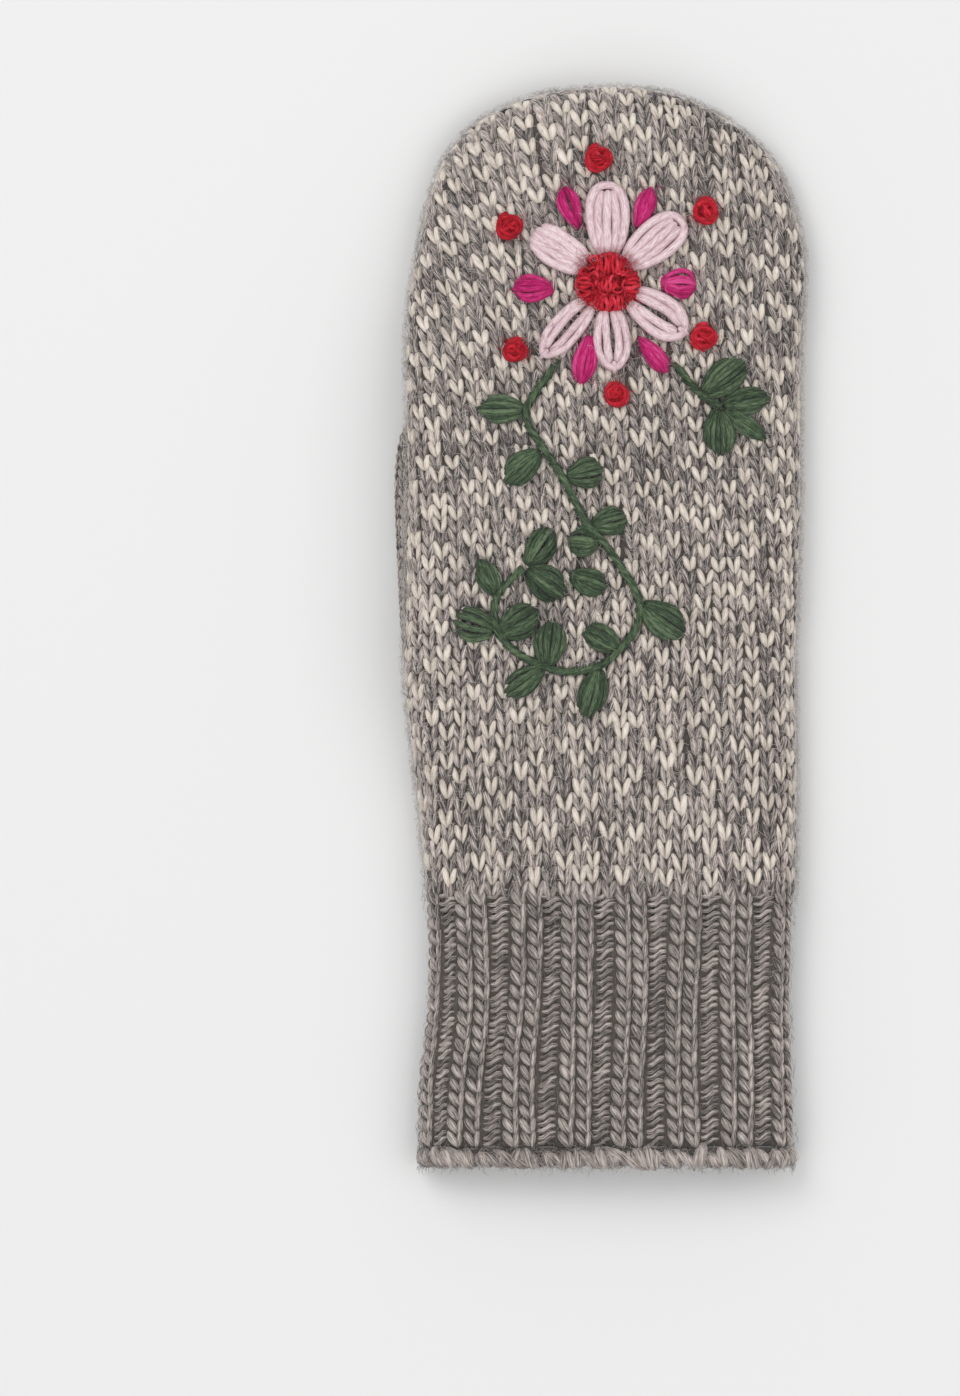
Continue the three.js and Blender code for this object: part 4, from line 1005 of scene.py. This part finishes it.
for name, turn, out_by, lean, length, width in BUDS:
    middle = turned_from_flower(turn, out_by * PETAL_REACH)
    reach = (turned_from_flower(turn + lean, 1) - flower) * length * PETAL_REACH / 2
    wide = width * PETAL_REACH
    make_piece(name + "_strands", MAGENTA, [name],
               [satin(middle - reach, middle + reach, wide, **BUD_STITCH),
                motif_hairs(middle, reach * 2, wide, 50, 1.3, 1.5)])

for number, (foot_x, foot_y, tip_x, tip_y, width) in enumerate(LEAVES, 1):
    foot, tip = motif_place(foot_x, foot_y), motif_place(tip_x, tip_y)
    wide = width * HAND_WIDTH
    make_piece(f"leaf_{number}_strands", GREEN, [f"leaf_{number}"],
               [satin(foot, tip + (tip - foot) * LEAF_LONGER, wide * LEAF_WIDER, **LEAF_STITCH),
                motif_hairs((foot + tip) / 2, tip - foot, wide, 45, 1.5)])

# Stem stitch, in mm: each stitch's length, the step to the next and its slant, then how far apart its three
# strands lie and half their thickness
STEM_LONG, STEM_STEP, STEM_SLANT, STEM_APART, STEM_YARN = 6.4, 2.8, 1.35, 0.36, 0.4


def stem_stitches(node, route):
    """Overlapping slanting stitches along a stem, each of three fine strands."""
    line = smooth_line([motif_place(*p) for p in route])
    run = run_along(line)
    starts = np.arange(-1.0, run[-1] - 3.0, STEM_STEP)
    t = np.linspace(0, 1, 8)
    batches = []
    for strand in (-1, 0, 1):
        at = starts[:, None] + t * STEM_LONG + draw.normal(0, 0.15, (len(starts), 1))
        at = np.clip(at, 0, run[-1])
        way = unit(points_along(line, run, at + 0.5) - points_along(line, run, at - 0.5), 1e-6)
        off = (t - 0.5) * STEM_SLANT + strand * STEM_APART
        x, y = beside(points_along(line, run, at).T, way.T, 0, off[:, None])
        height = -0.7 + np.sin(t * np.pi) ** 0.5 * (1.75 + 0.15 * (1 - abs(strand)))
        batches.append(spin(*back_cloth.lay(x.T, y.T, height), STEM_YARN * (0.6 + 0.4 * np.sin(t * np.pi)), 6,
                            draw.normal(-0.06, 0.09, len(starts)), flank_shade=0.32))
    some = draw.integers(0, len(line), 90)
    batches.append(loose_fibres(back_cloth, *line[some].T, 0.9, 1.8, curl=1.5))
    make_piece(node + "_stitches", GREEN, [node], batches)


stem_stitches("stem_main", VINE)
stem_stitches("stem_side", SPRIG)


def wound_lobe(middle, turn, long, deep, strands, yarn, tall, fan=0.0, bulge=0.0, tone=0.1):
    """Short strands side by side over a hump; the middle one runs the way of turn, the others fan out."""
    share = np.linspace(-1, 1, strands)[:, None]
    way = turn - fan * share + draw.normal(0, 0.17, (strands, 1))
    bend = np.linspace(-np.pi / 2, np.pi / 2, 11)[None, :]
    reach_by = deep / 2 * np.sqrt(1 - 0.4 * share ** 2)
    x = (middle[0] + np.sin(turn) * share * long / 2 - np.cos(turn) * bulge * share ** 2
         + np.cos(way) * np.sin(bend) * reach_by)
    y = (middle[1] - np.cos(turn) * share * long / 2 - np.sin(turn) * bulge * share ** 2
         + np.sin(way) * np.sin(bend) * reach_by)
    # No strand runs quite straight
    wobble = 0.26 * np.sin(draw.uniform(0, 6, (strands, 1)) + bend * 3.4)
    x, y = x + wobble * np.sin(turn), y - wobble * np.cos(turn)
    arch = np.cos(bend)
    hump = (tall + 0.3 + draw.normal(0, 0.12, (strands, 1))) * (1 - 0.5 * np.abs(share) ** 2.5)
    girth = yarn * draw.normal(1, 0.08, (strands, 1)) * (0.7 + 0.3 * arch)
    # The outer strands, low on the sides of the hump, are painted darker as shade
    return spin(*back_cloth.lay(x, y, -0.8 + arch * hump), girth, 7,
                draw.normal(tone, 0.08, strands) - 0.22 * share[:, 0] ** 2, flank_shade=0.3)


def curls(middle, radius, count, tall, thick):
    """Short bent strands that lie every way over a domed motif."""
    turn = draw.uniform(0, 2 * np.pi, (count, 1))
    out_by = radius * np.sqrt(draw.random((count, 1)))
    t = np.linspace(0, 1, 8)
    bend = draw.uniform(0, 2 * np.pi, (count, 1)) + t * draw.uniform(1.8, 3.2, (count, 1))
    size = draw.uniform(0.8, 1.5, (count, 1))
    x = middle[0] + np.cos(turn) * out_by + np.cos(bend) * size
    y = middle[1] + np.sin(turn) * out_by + np.sin(bend) * size
    dome = tall * (1 - 0.45 * np.clip(np.hypot(x - middle[0], y - middle[1]) / radius, 0, 1.4) ** 2)
    arch = np.sin(t * np.pi) ** 0.6
    return spin(*back_cloth.lay(x, y, dome - 0.8 + arch), thick * (0.6 + 0.4 * arch), 6,
                draw.normal(0.06, 0.09, count), flank_shade=0.26)


# Five wound lumps make the flower's centre: over, left, right, under and the middle one. Each has its place
# from the middle, its turn in degrees, length, depth, strands and height, and how far they fan out and bulge
LUMPS = [
    (0.8, 4.1, 90, 8.4, 6.2, 10, 3.6, 0.5, 1.2), (-6.0, -1.2, 180, 6.8, 4.2, 8, 3.2, 0.4, 0.7),
    (6.1, -1.2, 0, 6.8, 4.6, 8, 3.2, 0.4, 0.7), (0.6, -5.5, 270, 9.8, 4.4, 11, 3.2, 0.4, 0.9),
    (0.0, -1.3, 90, 6.4, 3.9, 8, 3.4, 0.1, 0.0),
]
lobes = [wound_lobe(flower + (right, up), np.radians(turn), long, deep, strands, 0.56, *shape)
         for right, up, turn, long, deep, strands, *shape in LUMPS]
# They lie on a low bed of thicker yarn
lobes.append(wound_lobe(flower + (0, -0.6), 0, 11.5, 14.5, 9, 0.95, 0.9))
# A strand round the foot of each lump but the middle one tucks in the ends
round_turn = np.linspace(0, 2 * np.pi, 30)[None]
for right, up, turn, long, deep, *_ in LUMPS[:4]:
    wide, high = (long, deep) if turn % 180 == 90 else (deep, long)
    path, out = back_cloth.lay(right + np.cos(round_turn) * wide * 0.45,
                               FLOWER_Y + up + np.sin(round_turn) * high * 0.45,
                               0.55 + 0.2 * np.sin(round_turn * 5))
    lobes.append(spin(path, out, 0.62, 7, -0.05, flank_shade=0.3))
lobes.append(curls(flower, 6.6, 34, 2.9, 0.38))
lobes.append(motif_hairs(flower, np.array([0, 12.5]), 13.0, 320, 2.7, 1.9))
make_piece("flower_centre_strands", RED, ["flower_centre"], lobes)


# Knots are lumps of yarn wound in three directions, with one strand that curls round the top. The windings:
# how far each is turned, its strands and its height
WINDINGS = [(0.0, 4, 2.4), (2.1, 4, 2.9), (1.1, 3, 3.3)]
turns = np.linspace(0, 3.7 * np.pi, 36)[None]
share = turns / turns.max()
for name, turn, out_by, size in KNOTS:
    middle, size = turned_from_flower(turn, out_by * PETAL_REACH), size * PETAL_REACH / 2
    start = draw.uniform(0, 2 * np.pi)
    coil = size * (0.84 - 0.3 * share) * (1 + 0.09 * np.sin(turns * 2.6 + start))
    x, y = middle[0] + coil * np.cos(turns + start), middle[1] + coil * np.sin(turns + start)
    path, out = back_cloth.lay(x, y, 0.25 + 1.5 * share)
    batches = [spin(path, out, 0.72, 8, draw.normal(-0.08, 0.04, 1), flank_shade=0.26)]
    batches += [wound_lobe(middle + draw.normal(0, 0.3, 2), start + turn, size * draw.uniform(0.7, 1.0),
                           size * draw.uniform(1.2, 1.5), strands, 0.62, tall, tone=-0.05)
                for turn, strands, tall in WINDINGS]
    batches.append(motif_hairs(middle, np.array([0, size * 1.6]), size * 1.6, 60, 2.4, 1.9))
    make_piece(name + "_strands", RED, [name], batches)


# ---------------------------------------------------------------- loose fibres

def scattered(count, low, nearest, farthest=np.inf):
    """Places all over the hand's cloth, no nearer to the side line and no farther from it than asked."""
    u, v = draw.uniform(hand.u[0], hand.u[-1], count), draw.uniform(low, 280, count)
    from_side = hand.round_fold(u, v)
    kept = (from_side > nearest) & (from_side < farthest)
    return u[kept], v[kept]


make_piece("hand_loose_fibres", FIBRE, ["hand"],
           [loose_fibres(back_cloth, *scattered(5200, 70, -0.5), 0.0)])
# A soft fringe along the folds, where the outline shows it
make_piece("side_loose_fibres", FIBRE, ["hand"],
           [loose_fibres(cloth, *scattered(30000, 66, -1.0, 2.0), 0.1, 2.4, 0.045, tall=1.5)
            for cloth in (back_cloth, palm_cloth)])
make_piece("palm_loose_fibres", FIBRE, ["hand"],
           [loose_fibres(palm_cloth, *scattered(1500, 70, -0.5), -0.1)])
CUFF_FUZZ = 1500
across, up = draw.uniform(0.1, RIBS - 0.1, CUFF_FUZZ), draw.uniform(CUFF_START + 2, CUFF_END - 2, CUFF_FUZZ)
make_piece("cuff_loose_fibres", RIB_HEATHER, ["cuff"],
           [loose_fibres(cuff_face, across, up, -0.1, across=1 / RIB_WIDTH)])


# ---------------------------------------------------------------- table

TABLE_REACH = 6
corners = [(-TABLE_REACH, -TABLE_REACH, 0), (TABLE_REACH, -TABLE_REACH, 0),
           (TABLE_REACH, TABLE_REACH, 0), (-TABLE_REACH, TABLE_REACH, 0)]
table = bpy.data.meshes.new("table")
table.from_pydata(corners, [], [(0, 1, 2, 3)])
table_top = put_in_scene("table", table)
# Matt paper, a shade off white: the plain ground that carries the mitten's soft shadow
PAPER = bpy.data.materials.new("matt_white_paper")
PAPER.use_nodes = True
PAPER.node_tree.nodes["Principled BSDF"].inputs["Base Color"].default_value = linear("#E4E4E4")
PAPER.node_tree.nodes["Principled BSDF"].inputs["Roughness"].default_value = 0.9
table.materials.append(PAPER)
